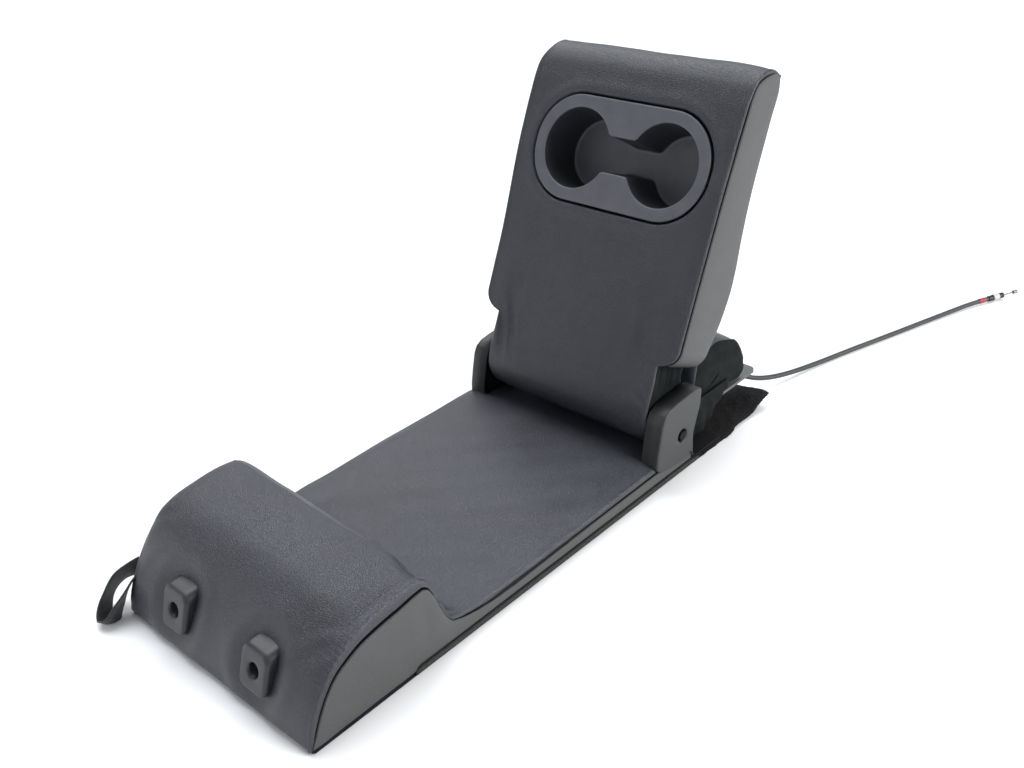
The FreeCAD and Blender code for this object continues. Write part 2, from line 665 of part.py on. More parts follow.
def lug_plate(name, side, spread=0):
    """A pivot plate welded to the end of the axle tube, which carries the stop pin."""
    start = axle_half - s.lug_wall - spread
    body = arm_body(name)
    width = s.axle_radius + s.lug_margin + spread
    outline = [(-width, -width * 0.6), (width, -width * 0.6), (width * 0.45, s.lug_height + spread),
               (-width * 0.45, s.lug_height + spread)]
    lift = start if side > 0 else -start
    grow(body, "Pad", polygon(body, name + "_outline", "YZ_Plane", outline, lift), s.lug_wall + spread,
         backwards=side < 0)
    return body


def pin_path(name, side):
    """Room round the stop pin where it comes out of the neck."""
    start, end = axle_half - 1, neck_half + 3
    low, high = (start, end) if side > 0 else (-end, -start)
    return arm_rod(name, low, high, s.pin_radius + 1, ZERO, s.pin_orbit)


def arm_frame():
    """The axle tube, its end plates and the hoop, welded into one frame; bushes and stop pins in it."""
    axle = arm_rod("axle_tube", -axle_half, axle_half, s.axle_radius)
    hoop = doc.addObject("Part::Feature", "hoop")
    hoop.Shape = hoop_shape(s.hoop_radius.value, s.hoop_radius.value - s.hoop_wall.value)
    hoop.Placement = arm_placement()
    lugs = [lug_plate("lug_right", 1), lug_plate("lug_left", -1)]
    bush_outer = s.bolt_radius + s.run_gap + s.bush_wall
    bore = arm_rod("axle_bore", -axle_half - 1, axle_half + 1, bush_outer)
    pin_holes = []
    for side, word in ((1, "right"), (-1, "left")):
        start, end = axle_half - 20, axle_half + 5
        low, high = (start, end) if side > 0 else (-end, -start)
        pin_holes.append(arm_rod("pin_hole_" + word, low, high, s.pin_radius, ZERO, s.pin_orbit))
    welded = fuse("arm_weldment", axle, hoop, *lugs)
    subpart(cut("armrest_frame", welded, bore, *pin_holes), "armrest_frame")
    for side, word in ((1, "right"), (-1, "left")):
        start, end = axle_half - s.bush_length, neck_half + 0.2
        low, high = (start, end) if side > 0 else (-end, -start)
        wall = arm_rod("bush_wall_" + word, low, high, bush_outer)
        hole = arm_rod("bush_hole_" + word, low - 1, high + 1, s.bolt_radius + s.run_gap)
        subpart(cut("pivot_bush_" + word, wall, hole), "pivot_bush_" + word)
        pin_start, pin_end = axle_half - s.lug_wall, plate_out + 2
        low, high = (pin_start, pin_end) if side > 0 else (-pin_end, -pin_start)
        subpart(arm_rod("stop_pin_" + word, low, high, s.pin_radius, ZERO, s.pin_orbit), "stop_pin_" + word)


def cup_holder():
    """One moulded insert: a bezel round two tapered cups that a channel joins between two tabs."""
    body = arm_body("cup_holder")
    face = s.arm_front
    centre = s.cup_centre
    half_w, half_h = s.bezel_width / 2, s.bezel_height / 2
    low, high = centre - half_h, centre + half_h
    rim = [(-half_w, low), (half_w, low), (half_w, high), (-half_w, high)]
    grow(body, "Pad", polygon(body, "bezel", "XZ_Plane", rim, face + s.fit_gap), s.bezel_rise)
    round_edges(body, s.bezel_round, lambda edge: edge.BoundBox.XLength < 1e-4 and edge.BoundBox.ZLength < 1e-4)
    outer_y = -(face + s.fit_gap + s.bezel_rise).value
    round_edges(body, s.bezel_rise * 0.6, lambda edge: abs(edge.BoundBox.YMax - outer_y) < 1e-4)
    slope = Size(math.degrees(math.atan((s.cup_radius.value - s.cup_floor_radius.value) / s.cup_depth.value)),
                 "atan((%s - %s) / %s)" % (s.cup_radius.text, s.cup_floor_radius.text, s.cup_depth.text))
    half_pitch = s.cup_pitch / 2
    half_channel = s.channel_height / 2
    deep = s.cup_depth + s.cup_wall
    channel_floor = s.cup_depth * 0.96
    for side, word in ((1, "right"), (-1, "left")):
        outside = [(half_pitch * side, centre, s.cup_radius + s.cup_wall)]
        drawn = circles(body, "cup_outside_" + word, "XZ_Plane", outside, face + s.fit_gap)
        grow(body, "Pad", drawn, deep, backwards=True, taper=-slope)
    wide = half_channel + s.cup_wall
    trough = [(-half_pitch, centre - wide), (half_pitch, centre - wide), (half_pitch, centre + wide),
              (-half_pitch, centre + wide)]
    grow(body, "Pad", polygon(body, "channel_outside", "XZ_Plane", trough, face + s.fit_gap),
         channel_floor + s.cup_wall, backwards=True)
    top = face + s.fit_gap + s.bezel_rise
    for side, word in ((1, "right"), (-1, "left")):
        drawn = circles(body, "cup_mouth_" + word, "XZ_Plane", [(half_pitch * side, centre, s.cup_radius)], top)
        grow(body, "Pocket", drawn, s.cup_depth + s.bezel_rise, taper=-slope)
    slot = [(-half_pitch, centre - half_channel), (half_pitch, centre - half_channel),
            (half_pitch, centre + half_channel), (-half_pitch, centre + half_channel)]
    grow(body, "Pocket", polygon(body, "channel", "XZ_Plane", slot, top), channel_floor + s.bezel_rise)
    subpart(body, "cup_holder")


# Hinges: brackets on the pan, bolts through them, and plastic covers over them
def shroud_outline(inset):
    """The hinge cover's outline: upright at the front, rising to a corner at the back, tucked in below it."""
    inset = Size.of(inset)
    start, end = head + s.shroud_start + inset, head + s.shroud_end - inset
    top = s.shroud_top - inset
    tucked = end - s.shroud_tuck
    sides = [
        (start, s.pad_height - 4), (start + s.shroud_draft, s.shroud_top - s.shroud_cheek),
        (start + s.shroud_brow, top - 5), (end - 6, top), (end, top - s.shroud_corner),
        (tucked, s.shroud_top - s.shroud_waist),
    ]
    if inset.value:
        return sides + [(tucked, -s.shroud_foot), (start, -s.shroud_foot)]
    return sides + [(tucked + 1, s.shroud_foot), (start + s.shroud_toe, s.shroud_foot)]


def hinges():
    plate_in = plate_out - s.bracket_wall
    screws = []
    for side, word in ((1, "right"), (-1, "left")):
        plate = new_body("bracket_plate_" + word)
        start, end = pivot_y - s.bracket_front, pivot_y + s.bracket_back
        outline = [(start, pan_top), (end, pan_top), (end, pivot_z + s.bracket_top - 4),
                   (pivot_y + 8, pivot_z + s.bracket_top), (pivot_y - 18, pivot_z + s.bracket_top - 3),
                   (start, pivot_z - 2)]
        drawn = polygon(plate, "plate_" + word, "YZ_Plane", outline, plate_in * side)
        grow(plate, "Pad", drawn, s.bracket_wall, backwards=side < 0)
        inner = plate_in - s.bracket_foot
        low, high = (inner, plate_in) if side > 0 else (-plate_in, -inner)
        foot = box("bracket_foot_" + word, (low, start, pan_top), (high, end, pan_top + s.bracket_wall))
        far, through = -s.seat_width, s.seat_width * 2
        bolt_hole = rod("bracket_hole_" + word, (far, pivot_y, pivot_z), "x", s.bolt_radius + s.run_gap, through)
        slot = stop_slot(word, plate_in, side)
        screw_spot = (far, head + s.screw_back, s.screw_height)
        screw_hole = rod("bracket_screw_hole_" + word, screw_spot, "x", s.screw_radius, through)
        joined = fuse("bracket_joined_" + word, plate, foot)
        subpart(cut("hinge_bracket_" + word, joined, bolt_hole, slot, screw_hole), "hinge_bracket_" + word)
        pivot_bolt(word, side)
        shroud(word, side)
        screws.append(cover_screw(word, side))
    group = doc.addObject("Part::Compound", "cover_screws")
    group.Links = screws
    subpart(group, "cover_screws")


def stop_slot(word, plate_in, side):
    """The arc that the stop pin runs in, from the folded-out stop to the stowed one."""
    low = plate_in - 5 if side > 0 else -plate_in - s.bracket_wall - 5
    depth = s.bracket_wall + 10
    room = s.pin_radius + s.pin_gap
    outside = rod("slot_outside_" + word, (low, pivot_y, pivot_z), "x", s.pin_orbit + room, depth)
    inside = rod("slot_inside_" + word, (low - 1, pivot_y, pivot_z), "x", s.pin_orbit - room, depth + 2)
    ring = cut("slot_ring_" + word, outside, inside)
    wedge = new_body("slot_wedge_" + word)
    far = s.pin_orbit.value * 3
    rest = math.radians(90 - s.arm_lean.value)
    stowed = rest + math.radians(s.fold_angle.value)
    middle = (rest + stowed) / 2
    fan = [(pivot_y, pivot_z)]
    for angle in (rest, (rest + middle) / 2, middle, (middle + stowed) / 2, stowed):
        fan.append((pivot_y + far * math.cos(angle), pivot_z + far * math.sin(angle)))
    grow(wedge, "Pad", polygon(wedge, "fan_" + word, "YZ_Plane", fan, low - 2), depth + 4)
    ends = [common("slot_sweep_" + word, ring, wedge)]
    for name, angle in (("rest", rest), ("stowed", stowed)):
        y = pivot_y + s.pin_orbit * math.cos(angle)
        z = pivot_z + s.pin_orbit * math.sin(angle)
        ends.append(rod("slot_end_%s_%s" % (name, word), (low, y, z), "x", room, depth))
    return fuse("stop_slot_" + word, *ends)


def pivot_bolt(word, side):
    """A shoulder bolt through the bracket into the armrest's bush."""
    body = new_body("pivot_bolt_" + word, y=pivot_y, z=pivot_z)
    tip = axle_half - s.bush_length + 2
    shank = circles(body, "bolt_shank_" + word, "YZ_Plane", [(ZERO, ZERO, s.bolt_radius)], tip * side)
    grow(body, "Pad", shank, plate_out - tip + 1, backwards=side < 0)
    corner = s.bolt_radius * 1.5
    corners = []
    for step in range(6):
        angle = math.radians(60 * step)
        corners.append((corner * math.cos(angle), corner * math.sin(angle)))
    hexagon = polygon(body, "bolt_head_" + word, "YZ_Plane", corners, (plate_out + 0.1) * side)
    grow(body, "Pad", hexagon, s.bolt_head, backwards=side < 0)
    subpart(body, "pivot_bolt_" + word)


def shroud(word, side):
    """A moulded cover over the bracket: a shell open towards the armrest, with a screw boss."""
    body = new_body("hinge_cover_" + word)
    deep = s.hinge_notch - 1
    open_side = half_seat - deep
    drawn = polygon(body, "cover_outline_" + word, "YZ_Plane", shroud_outline(0), open_side * side)
    grow(body, "Pad", drawn, deep, backwards=side < 0)
    limit = (half_seat * side).value

    def corner_edges(edge):
        box_of = edge.BoundBox
        return box_of.XLength > 5 and box_of.Center.z > s.pad_height.value + 5

    round_edges(body, s.shroud_round, corner_edges)

    def rim(edge):
        box_of = edge.BoundBox
        on_face = abs(box_of.Center.x - limit) < 1e-4 and box_of.XLength < 1e-4
        return on_face and box_of.Center.z > s.pad_height.value - 6

    round_edges(body, s.shroud_edge, rim)
    hollow = polygon(body, "cover_hollow_" + word, "YZ_Plane", shroud_outline(s.shroud_wall), (open_side - 1) * side)
    grow(body, "Pocket", hollow, deep + 1 - s.shroud_wall, backwards=side > 0)
    spot = (head + s.screw_back, s.screw_height)
    boss = circles(body, "cover_boss_" + word, "YZ_Plane", [(*spot, s.screw_radius * 2)],
                   (half_seat - s.shroud_wall) * side)
    grow(body, "Pad", boss, s.bracket_inset - s.shroud_wall - s.fit_gap, backwards=side > 0)
    hole = circles(body, "cover_screw_hole_" + word, "YZ_Plane", [(*spot, s.screw_radius + 0.1)],
                   (half_seat + 1) * side)
    grow(body, "Pocket", hole, s.bracket_inset + 5, backwards=side < 0)
    recess = circles(body, "cover_recess_" + word, "YZ_Plane", [(*spot, s.screw_head + 0.6)],
                     (half_seat + 1) * side)
    grow(body, "Pocket", recess, s.screw_recess, backwards=side < 0)
    subpart(body, "hinge_cover_" + word)


def cover_screw(word, side):
    """The screw that holds a hinge cover to its bracket."""
    body = new_body("cover_screw_" + word)
    spot = (head + s.screw_back, s.screw_height)
    seat = half_seat - s.screw_recess + 1
    shank = circles(body, "screw_shank_" + word, "YZ_Plane", [(*spot, s.screw_radius - 0.05)], seat * side)
    grow(body, "Pad", shank, s.bracket_inset + s.bracket_wall, backwards=side > 0)
    top = circles(body, "screw_top_" + word, "YZ_Plane", [(*spot, s.screw_head)], seat * side)
    grow(body, "Pad", top, Size.of(1.6), backwards=side < 0)
    return body


# Lower end: the cushioned lobe, its tube, the stiff flap and the felt
def lobe_form(name, inset, half_width):
    """The padded lower end as one solid, moved in by inset."""
    body = new_body(name)
    inset = Size.of(inset)
    start, end = lobe_start + inset, lobe_end - inset
    top = s.lobe_height - inset
    under = s.lobe_underside + inset
    peak = (lobe_start + s.lobe_rise, top)
    nose = (end, under + s.lobe_nose)
    brow = (end - s.lobe_nose, top - s.lobe_brow_drop)
    front = (start, top - s.lobe_front_drop)
    corners = [(start, under), front, peak, brow, nose, (end - s.lobe_heel, under)]
    grow(body, "Pad", polygon(body, name + "_outline", "YZ_Plane", corners), half_width * 2, symmetric=True)
    rounds = ((front, s.lobe_front_round), (peak, s.lobe_peak_round), (brow, s.lobe_brow_round),
              (nose, s.lobe_nose_round))
    for corner, radius in rounds:
        round_edges(body, radius, along_x_at(*corner))
    limit = half_width.value

    def side_edge(edge):
        """The run along a side, without the underside and the upright front."""
        box_of = edge.BoundBox
        on_side = abs(abs(box_of.Center.x) - limit) < 1e-4 and box_of.XLength < 1e-4
        if not on_side or box_of.ZMax <= under.value + 3:
            return False
        return not (box_of.YLength < 1e-4 and abs(box_of.YMax - start.value) < 1e-4)

    round_edges(body, s.edge_round - inset, side_edge)
    return body


def lower_end():
    outer = lobe_form("lobe_outer", 0, half_lobe)
    inner = lobe_form("lobe_inner", s.cover_wall, half_lobe - s.cover_wall)
    shell = cut("lobe_shell", outer, inner)
    seam = half_lobe - s.seam_inset
    low_end, high_end = lobe_start - 10, lobe_end + 10
    middle = box("lobe_zone", (-seam, low_end, 0), (seam, high_end, s.lobe_height + 10))
    subpart(common("lower_cover", shell, middle), "lower_cover")
    for side, word in ((1, "right"), (-1, "left")):
        edges = (seam, half_lobe + 5) if side > 0 else (-half_lobe - 5, -seam)
        zone = box("lobe_side_zone_" + word, (edges[0], low_end, 0), (edges[1], high_end, s.lobe_height + 10))
        subpart(common("lower_side_" + word, shell, zone), "lower_side_" + word)
    inset = s.cover_wall + s.fit_gap
    subpart(lobe_form("lower_foam", inset, half_lobe - inset), "lower_foam")
    flap = new_body("tail_flap")
    start = lobe_start + s.flap_lap
    outline = [(-half_lobe, start), (half_lobe, start), (half_lobe, flap_end), (-half_lobe, flap_end)]
    drawn = polygon(flap, "flap_outline", "XY_Plane", outline, s.lobe_underside - s.flap_wall)
    grow(flap, "Pad", drawn, s.flap_wall)
    rear = flap_end.value - 1
    round_edges(flap, s.flap_round, lambda edge: edge.BoundBox.ZLength > 1 and edge.BoundBox.Center.y > rear)
    subpart(flap, "tail_flap")
    tube_y, tube_z = lobe_start + s.pivot_tube_offset, s.pivot_tube_height
    bar = rod("pivot_bar", (-tube_half, tube_y, tube_z), "x", s.pivot_tube_radius, tube_half * 2)
    bore = rod("pivot_bar_bore", (-tube_half - 1, tube_y, tube_z), "x", s.pivot_tube_bore, tube_half * 2 + 2)
    subpart(cut("pivot_tube", bar, bore), "pivot_tube")
    for side, word in ((1, "right"), (-1, "left")):
        stay(word, side, tube_y, tube_z)
        skirt(word, side)


def stay(word, side, tube_y, tube_z):
    """A pressed arm from the back pan to the pivot tube, with a shelf that the lobe sits on."""
    body = new_body("lower_stay_" + word)
    top = s.lobe_underside - s.flap_wall - s.run_gap
    inner = tube_half - s.stay_inset
    outline = [(lobe_start, pan_top), (lobe_start + s.tongue_reach, pan_top), (tube_y + s.stay_foot, pan_top),
               (tube_y + s.stay_shelf, top), (lobe_start, top)]
    drawn = polygon(body, "stay_outline_" + word, "YZ_Plane", outline, inner * side)
    grow(body, "Pad", drawn, s.stay_wall, backwards=side < 0)
    spot = (tube_y, tube_z, s.pivot_tube_radius + s.run_gap)
    hole = circles(body, "stay_hole_" + word, "YZ_Plane", [spot], (inner - 5) * side)
    grow(body, "Pocket", hole, s.stay_wall + 10, backwards=side > 0)
    subpart(body, "lower_stay_" + word)


def skirt(word, side):
    """The dark cloth that hangs below the lobe's end, cut off at a slant."""
    body = new_body("lower_skirt_" + word)
    top = s.lobe_underside - s.flap_wall - s.run_gap
    outline = [(lobe_start, s.skirt_drop), (lobe_start + s.skirt_foot, s.skirt_drop),
               (lobe_start + s.skirt_top, top), (lobe_start, top)]
    drawn = polygon(body, "skirt_outline_" + word, "YZ_Plane", outline, (half_lobe - s.skirt_inset) * side)
    grow(body, "Pad", drawn, s.cover_wall, backwards=side > 0)
    subpart(body, "lower_skirt_" + word)


# Pull strap and release cable
def strap():
    """The pull strap: webbing folded into a teardrop loop and sewn in at the left of the bolster."""
    reach, half_loop, wall = s.strap_reach.value, s.strap_loop.value / 2, s.strap_wall.value
    root = Vector((-half_seat - s.fit_gap).value - wall - 0.2, (head + s.strap_back).value, s.strap_height.value)
    way = Vector(-0.46, -0.77, -0.42).normalize()
    lean = Vector(0.14, -0.47, 0.87)
    across = (lean - way * lean.dot(way)).normalize()
    aside = way.cross(across)

    def loop(inset, tail):
        """The teardrop moved in by inset, with its tail from the root, as a prism as wide as the webbing."""
        far, wide = reach - inset, half_loop - inset
        sides = [(reach * 0.55, wide), (far, wide * 0.55), (far, -wide * 0.55), (reach * 0.55, -wide)]
        points = [root + way * along + aside * off for along, off in tail + sides]
        base = [point - across * (s.strap_width.value / 2) for point in points]
        prism = Part.Face(Part.makePolygon(base + base[:1])).extrude(across * s.strap_width.value)
        bends = [edge for edge in prism.Edges if edge.Curve.Direction.cross(across).Length < 1e-6
                 and (edge.CenterOfMass - root).dot(way) > reach * 0.4]
        return prism.makeFillet(half_loop * 0.5 - inset, bends)

    legs = loop(0, [(0, -wall), (0, wall)])
    shaped("pull_strap", legs.cut(loop(wall, [(reach * 0.12, 0)])))


# The cable's route, with its second number measured from the flap's rear edge
CABLE_ROUTE = [
    (78, -14, 32.4), (84, 10, 31), (92, 37, 24), (102, 63, 13), (114, 92, 5), (125, 125, 3.3), (136, 162, 3),
    (148, 200, 3), (160, 239, 3), (172, 279, 3.1), (185, 320, 3.4), (197, 356, 4.2), (208, 378, 4.7),
]


def bored(solid, radius, start, way, length):
    """A turned piece with a round hole along it that runs past both of its ends."""
    return solid.cut(Part.makeCylinder(radius, length + 4, start - way * 2, way))


def cable():
    """The release cable's sheath, its gland, the coloured band, the end ferrule and the inner wire."""
    radius = s.cable_radius.value
    route = [Vector(x, flap_end.value + y, z) for x, y, z in CABLE_ROUTE]
    shaped("release_cable", tube_along(rounded_path(route, widest_bend), radius))
    first, last = route[0], route[-1]
    way = (route[1] - first).normalize()
    length = s.gland_length.value
    outside = Part.makeCone(radius + s.gland_wall.value + 1.5, radius + 1, length, first - way * 2, way)
    shaped("cable_gland", outside.cut(Part.makeCylinder(radius + 0.02, length + 4, first, way)))
    out = (last - route[-2]).normalize()
    start, length = last - out * s.mark_back.value, s.mark_length.value
    band = Part.makeCylinder(radius + s.mark_wall.value, length, start, out)
    shaped("cable_mark", bored(band, radius, start, out, length))
    ferrule_radius, ferrule_length = s.ferrule_radius.value, s.ferrule_length.value
    ferrule = Part.makeCylinder(ferrule_radius, ferrule_length, last, out)
    wire_path = Part.makeCylinder(s.wire_radius.value + 0.06, ferrule_length, last, out)
    shaped("cable_ferrule", ferrule.cut(wire_path))
    length = s.collar_length.value
    start = last + out * ((ferrule_length - length) / 2)
    collar = Part.makeCylinder(ferrule_radius + 0.5, length, start, out)
    shaped("ferrule_collar", bored(collar, ferrule_radius, start, out, length))
    inner = last + out * 2
    length = ferrule_length - 2 + s.wire_length.value
    wire = Part.makeCylinder(s.wire_radius.value, length, inner, out)
    nipple = Part.makeCylinder(s.nipple_radius.value, s.nipple_length.value, inner + out * length, out)
    shaped("release_wire", wire.fuse(nipple).removeSplitter())


seat_back()
carpet()
headrest_fittings()
armrest()
hinges()
lower_end()
strap()
cable()
doc.recompute()

for item in doc.Objects:
    if "Invalid" in item.State or "Error" in item.State:
        raise RuntimeError("%s did not build: %s" % (item.Label, item.State))
os.makedirs("parts", exist_ok=True)
for piece in subparts:
    if piece.Shape.isNull() or not piece.Shape.isValid():
        raise RuntimeError("%s has no valid shape" % piece.Label)
    piece.Shape.exportStep("parts/%s.step" % piece.Label)
print("wrote", len(subparts), "sub-parts")
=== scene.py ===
"""Looks of the rear seat armrest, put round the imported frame.

Shapes are worked out in millimetres, in the frame of the part, and go into the meshes in metres.
The armrest is drawn in a frame of its own: its pivot is the origin, depth runs from the front face to the
back, and rise runs along the armrest.
"""
import json
import math

import bmesh
import bpy
import numpy as np
from mathutils import Matrix, Vector


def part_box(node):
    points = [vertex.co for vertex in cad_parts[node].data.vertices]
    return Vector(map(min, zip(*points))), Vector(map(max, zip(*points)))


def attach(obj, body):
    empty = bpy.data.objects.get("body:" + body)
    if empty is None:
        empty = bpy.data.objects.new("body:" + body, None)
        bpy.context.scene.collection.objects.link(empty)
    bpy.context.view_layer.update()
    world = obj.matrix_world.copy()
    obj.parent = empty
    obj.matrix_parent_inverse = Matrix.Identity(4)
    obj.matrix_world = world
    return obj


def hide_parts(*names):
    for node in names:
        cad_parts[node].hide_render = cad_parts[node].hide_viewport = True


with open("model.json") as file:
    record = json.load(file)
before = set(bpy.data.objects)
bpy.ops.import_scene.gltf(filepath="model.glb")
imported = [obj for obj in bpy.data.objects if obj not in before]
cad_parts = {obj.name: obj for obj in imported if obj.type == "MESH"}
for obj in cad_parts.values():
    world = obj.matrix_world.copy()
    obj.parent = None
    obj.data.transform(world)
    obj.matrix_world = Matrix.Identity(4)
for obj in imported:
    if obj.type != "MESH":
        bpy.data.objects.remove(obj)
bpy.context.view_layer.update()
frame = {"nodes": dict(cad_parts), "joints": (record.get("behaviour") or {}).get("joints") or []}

MM = 0.001


def box_mm(node):
    """A node's lowest and highest corners, in millimetres."""
    low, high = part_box(node)
    return np.array(low) / MM, np.array(high) / MM


# Sizes that several pieces share, read from the frame where a node has them
SIDES = ((1, "right"), (-1, "left"))
HEAD = box_mm("seat_cover")[0][1]
FOLD = next(joint for joint in frame["joints"] if joint["name"] == "armrest_fold")
PIVOT = np.array(FOLD["pos_m"]) / MM
LEAN = math.radians(25)
CUP_RISE = 224.0
BEZEL_HALF = (104.0, 52.5)
BEZEL_ROUND = 50.0


# Lines and grids
def through(points, per=24):
    """A smooth line through the points: cubic Hermite pieces, with slopes from the neighbouring points."""
    points = np.asarray(points, float)
    steps = np.linalg.norm(np.diff(points, axis=0), axis=1)
    at = np.concatenate([[0], np.cumsum(np.maximum(steps, 1e-6))])
    slope = np.gradient(points, at, axis=0)
    seg = np.repeat(np.arange(len(points) - 1), per)
    part = np.tile(np.arange(per) / per, len(points) - 1)
    span = (at[seg + 1] - at[seg])[:, None]
    t = part[:, None]
    line = (
        (2 * t ** 3 - 3 * t ** 2 + 1) * points[seg]
        + (t ** 3 - 2 * t ** 2 + t) * span * slope[seg]
        + (3 * t ** 2 - 2 * t ** 3) * points[seg + 1]
        + (t ** 3 - t ** 2) * span * slope[seg + 1]
    )
    return np.vstack([line, points[-1:]])


def even(line, count):
    """The same line as count points at equal spacing along it."""
    steps = np.linalg.norm(np.diff(line, axis=0), axis=1)
    at = np.concatenate([[0], np.cumsum(steps)])
    want = np.linspace(0, at[-1], count)
    return np.stack([np.interp(want, at, line[:, axis]) for axis in range(line.shape[1])], axis=1)


def drawn(points, count):
    """A smooth line through the points, as count evenly spaced points."""
    return even(through(points), count)


def ramp(value, low, high):
    """0 below low, 1 above high, and a smooth S between."""
    t = np.clip((value - low) / (high - low), 0, 1)
    return t * t * (3 - 2 * t)


def bump_at(value, middle, width):
    """A bell of height 1 at middle."""
    return np.exp(-((value - middle) / width) ** 2)


def wave(value, length, phase=0):
    """A sine wave of the given length, moved on by the phase."""
    return np.sin(value * 2 * math.pi / length + phase)


def grid_normals(grid):
    """Unit normals of a grid of points, from the cross product of its two directions."""
    along = np.gradient(grid, axis=0)
    aside = np.gradient(grid, axis=1)
    normal = np.cross(along, aside)
    size = np.linalg.norm(normal, axis=2, keepdims=True)
    return normal / np.maximum(size, 1e-9)


def ripple(grid, length, seed):
    """Slow unevenness from -1 to 1: three sine waves in fixed directions, of about the given length."""
    rng = np.random.default_rng(seed)
    total = np.zeros(grid.shape[:2])
    for _ in range(3):
        way = rng.normal(size=3)
        way /= np.linalg.norm(way)
        total += np.sin(grid @ way * (2 * math.pi / (length * rng.uniform(0.7, 1.4))) + rng.uniform(0, 6.28))
    return total / 3


def across_positions(count):
    """Positions from -1 to 1 that crowd towards both ends."""
    return np.sin(np.linspace(-1, 1, count) * math.pi / 2)


def crowned(seam, middle, half, cols, flat, power):
    """A padded sheet: each row goes from the seam line at one side over the middle line to the other seam.

    The rise over the seam is (1 - |u| ** flat) ** power, for u from -1 to 1 across. seam and flat are pairs,
    for the left and the right.
    """
    u = across_positions(cols)
    rise = np.maximum(1 - np.abs(u) ** np.where(u < 0, flat[0], flat[1]), 0) ** power
    edge = np.where((u < 0)[None, :, None], seam[0][:, None, :], seam[1][:, None, :])
    yz = edge + (middle[:, None, :] - edge) * rise[None, :, None]
    x = np.broadcast_to(np.asarray(half).reshape(-1, 1) * u[None, :], yz.shape[:2])
    return np.concatenate([x[:, :, None], yz], axis=2)


def rolled_under(grid, inward, drop):
    """A grid with one more column at each side, which turns the sheet's edge in and down into its seam."""
    left, right = grid[:, :1].copy(), grid[:, -1:].copy()
    left[..., 0] += inward
    right[..., 0] -= inward
    left[..., 1:] += drop
    right[..., 1:] += drop
    return np.concatenate([left, grid, right], axis=1)


def edge_spaced(length, count, both):
    """Positions across strips of the given lengths, at set distances from the far edge or from both."""
    near = np.array([0, 0.4, 0.8, 1.2, 1.6, 2.0, 2.6, 3.4, 4.6])
    length = np.maximum(np.asarray(length, float), 1e-3)[:, None]
    close = near[None, :] * np.minimum(1, length / 11)
    first = close if both else np.zeros_like(length)
    share = np.linspace(0, 1, count)[None, 1:-1]
    middle = first[:, -1:] + (length - close[:, -1:] - first[:, -1:]) * share
    return np.concatenate([first, middle, length - close[:, ::-1]], axis=1) / length


def outline_inset(loop, inset):
    """A closed outline moved in by inset along its normals. The outline runs anticlockwise."""
    way = np.roll(loop, -1, axis=0) - np.roll(loop, 1, axis=0)
    way /= np.maximum(np.linalg.norm(way, axis=1, keepdims=True), 1e-9)
    return loop + inset * np.stack([-way[:, 1], way[:, 0]], axis=1)


def softened(loop, passes):
    """A closed outline, rounded: each pass moves a point halfway to the mean of its neighbours."""
    for _ in range(passes):
        loop = 0.5 * loop + 0.25 * (np.roll(loop, 1, axis=0) + np.roll(loop, -1, axis=0))
    return loop


def closed_even(loop, count):
    """A closed outline as count evenly spaced points."""
    return even(np.vstack([loop, loop[:1]]), count + 1)[:-1]


def unit_circle(count):
    """An anticlockwise circle of radius 1 that starts at its +x end."""
    angle = np.linspace(0, 2 * math.pi, count, endpoint=False)
    return np.stack([np.cos(angle), np.sin(angle)], axis=1)


def rounded_rectangle(half_x, half_y, radius, count):
    """An anticlockwise circle whose quarters are moved apart, which starts at its +x end."""
    circle = unit_circle(720)
    loop = np.sign(circle) * (half_x - radius, half_y - radius) + radius * circle
    start = np.array([[half_x, 0.0]])
    return closed_even(np.vstack([start, loop[1:]]), count)


def to_world(local):
    """Armrest points (x, depth, rise) turned back by the lean and set on the pivot."""
    x, depth, rise = local[..., 0], local[..., 1], local[..., 2]
    y = PIVOT[1] + depth * math.cos(LEAN) + rise * math.sin(LEAN)
    z = PIVOT[2] - depth * math.sin(LEAN) + rise * math.cos(LEAN)
    return np.stack([x, y, z], axis=-1)


# Meshes
def table_quads(index):
    """Quads between the neighbouring rows and columns of a table of point numbers."""
    return np.stack([index[:-1, :-1], index[:-1, 1:], index[1:, 1:], index[1:, :-1]], axis=2).reshape(-1, 4)


def grid_quads(rows, cols, wrap=False):
    """Quads of a grid, as an array of corner numbers; wrap joins the last column to the first."""
    index = np.arange(rows * cols).reshape(rows, cols)
    if wrap:
        index = np.concatenate([index, index[:, :1]], axis=1)
    return table_quads(index)


def face_normals(points, quads):
    """Each quad's normal, as the cross product of its diagonals."""
    corners = points[quads]
    return np.cross(corners[:, 2] - corners[:, 0], corners[:, 3] - corners[:, 1])


def outward(points, quads, core):
    """The quads turned so that most of them face away from core, which is one point or one for each quad."""
    away = points[quads].mean(axis=1) - np.asarray(core, float)
    facing = np.einsum("ij,ij->i", face_normals(points, quads), away)
    return quads if facing.sum() > 0 else quads[:, ::-1]


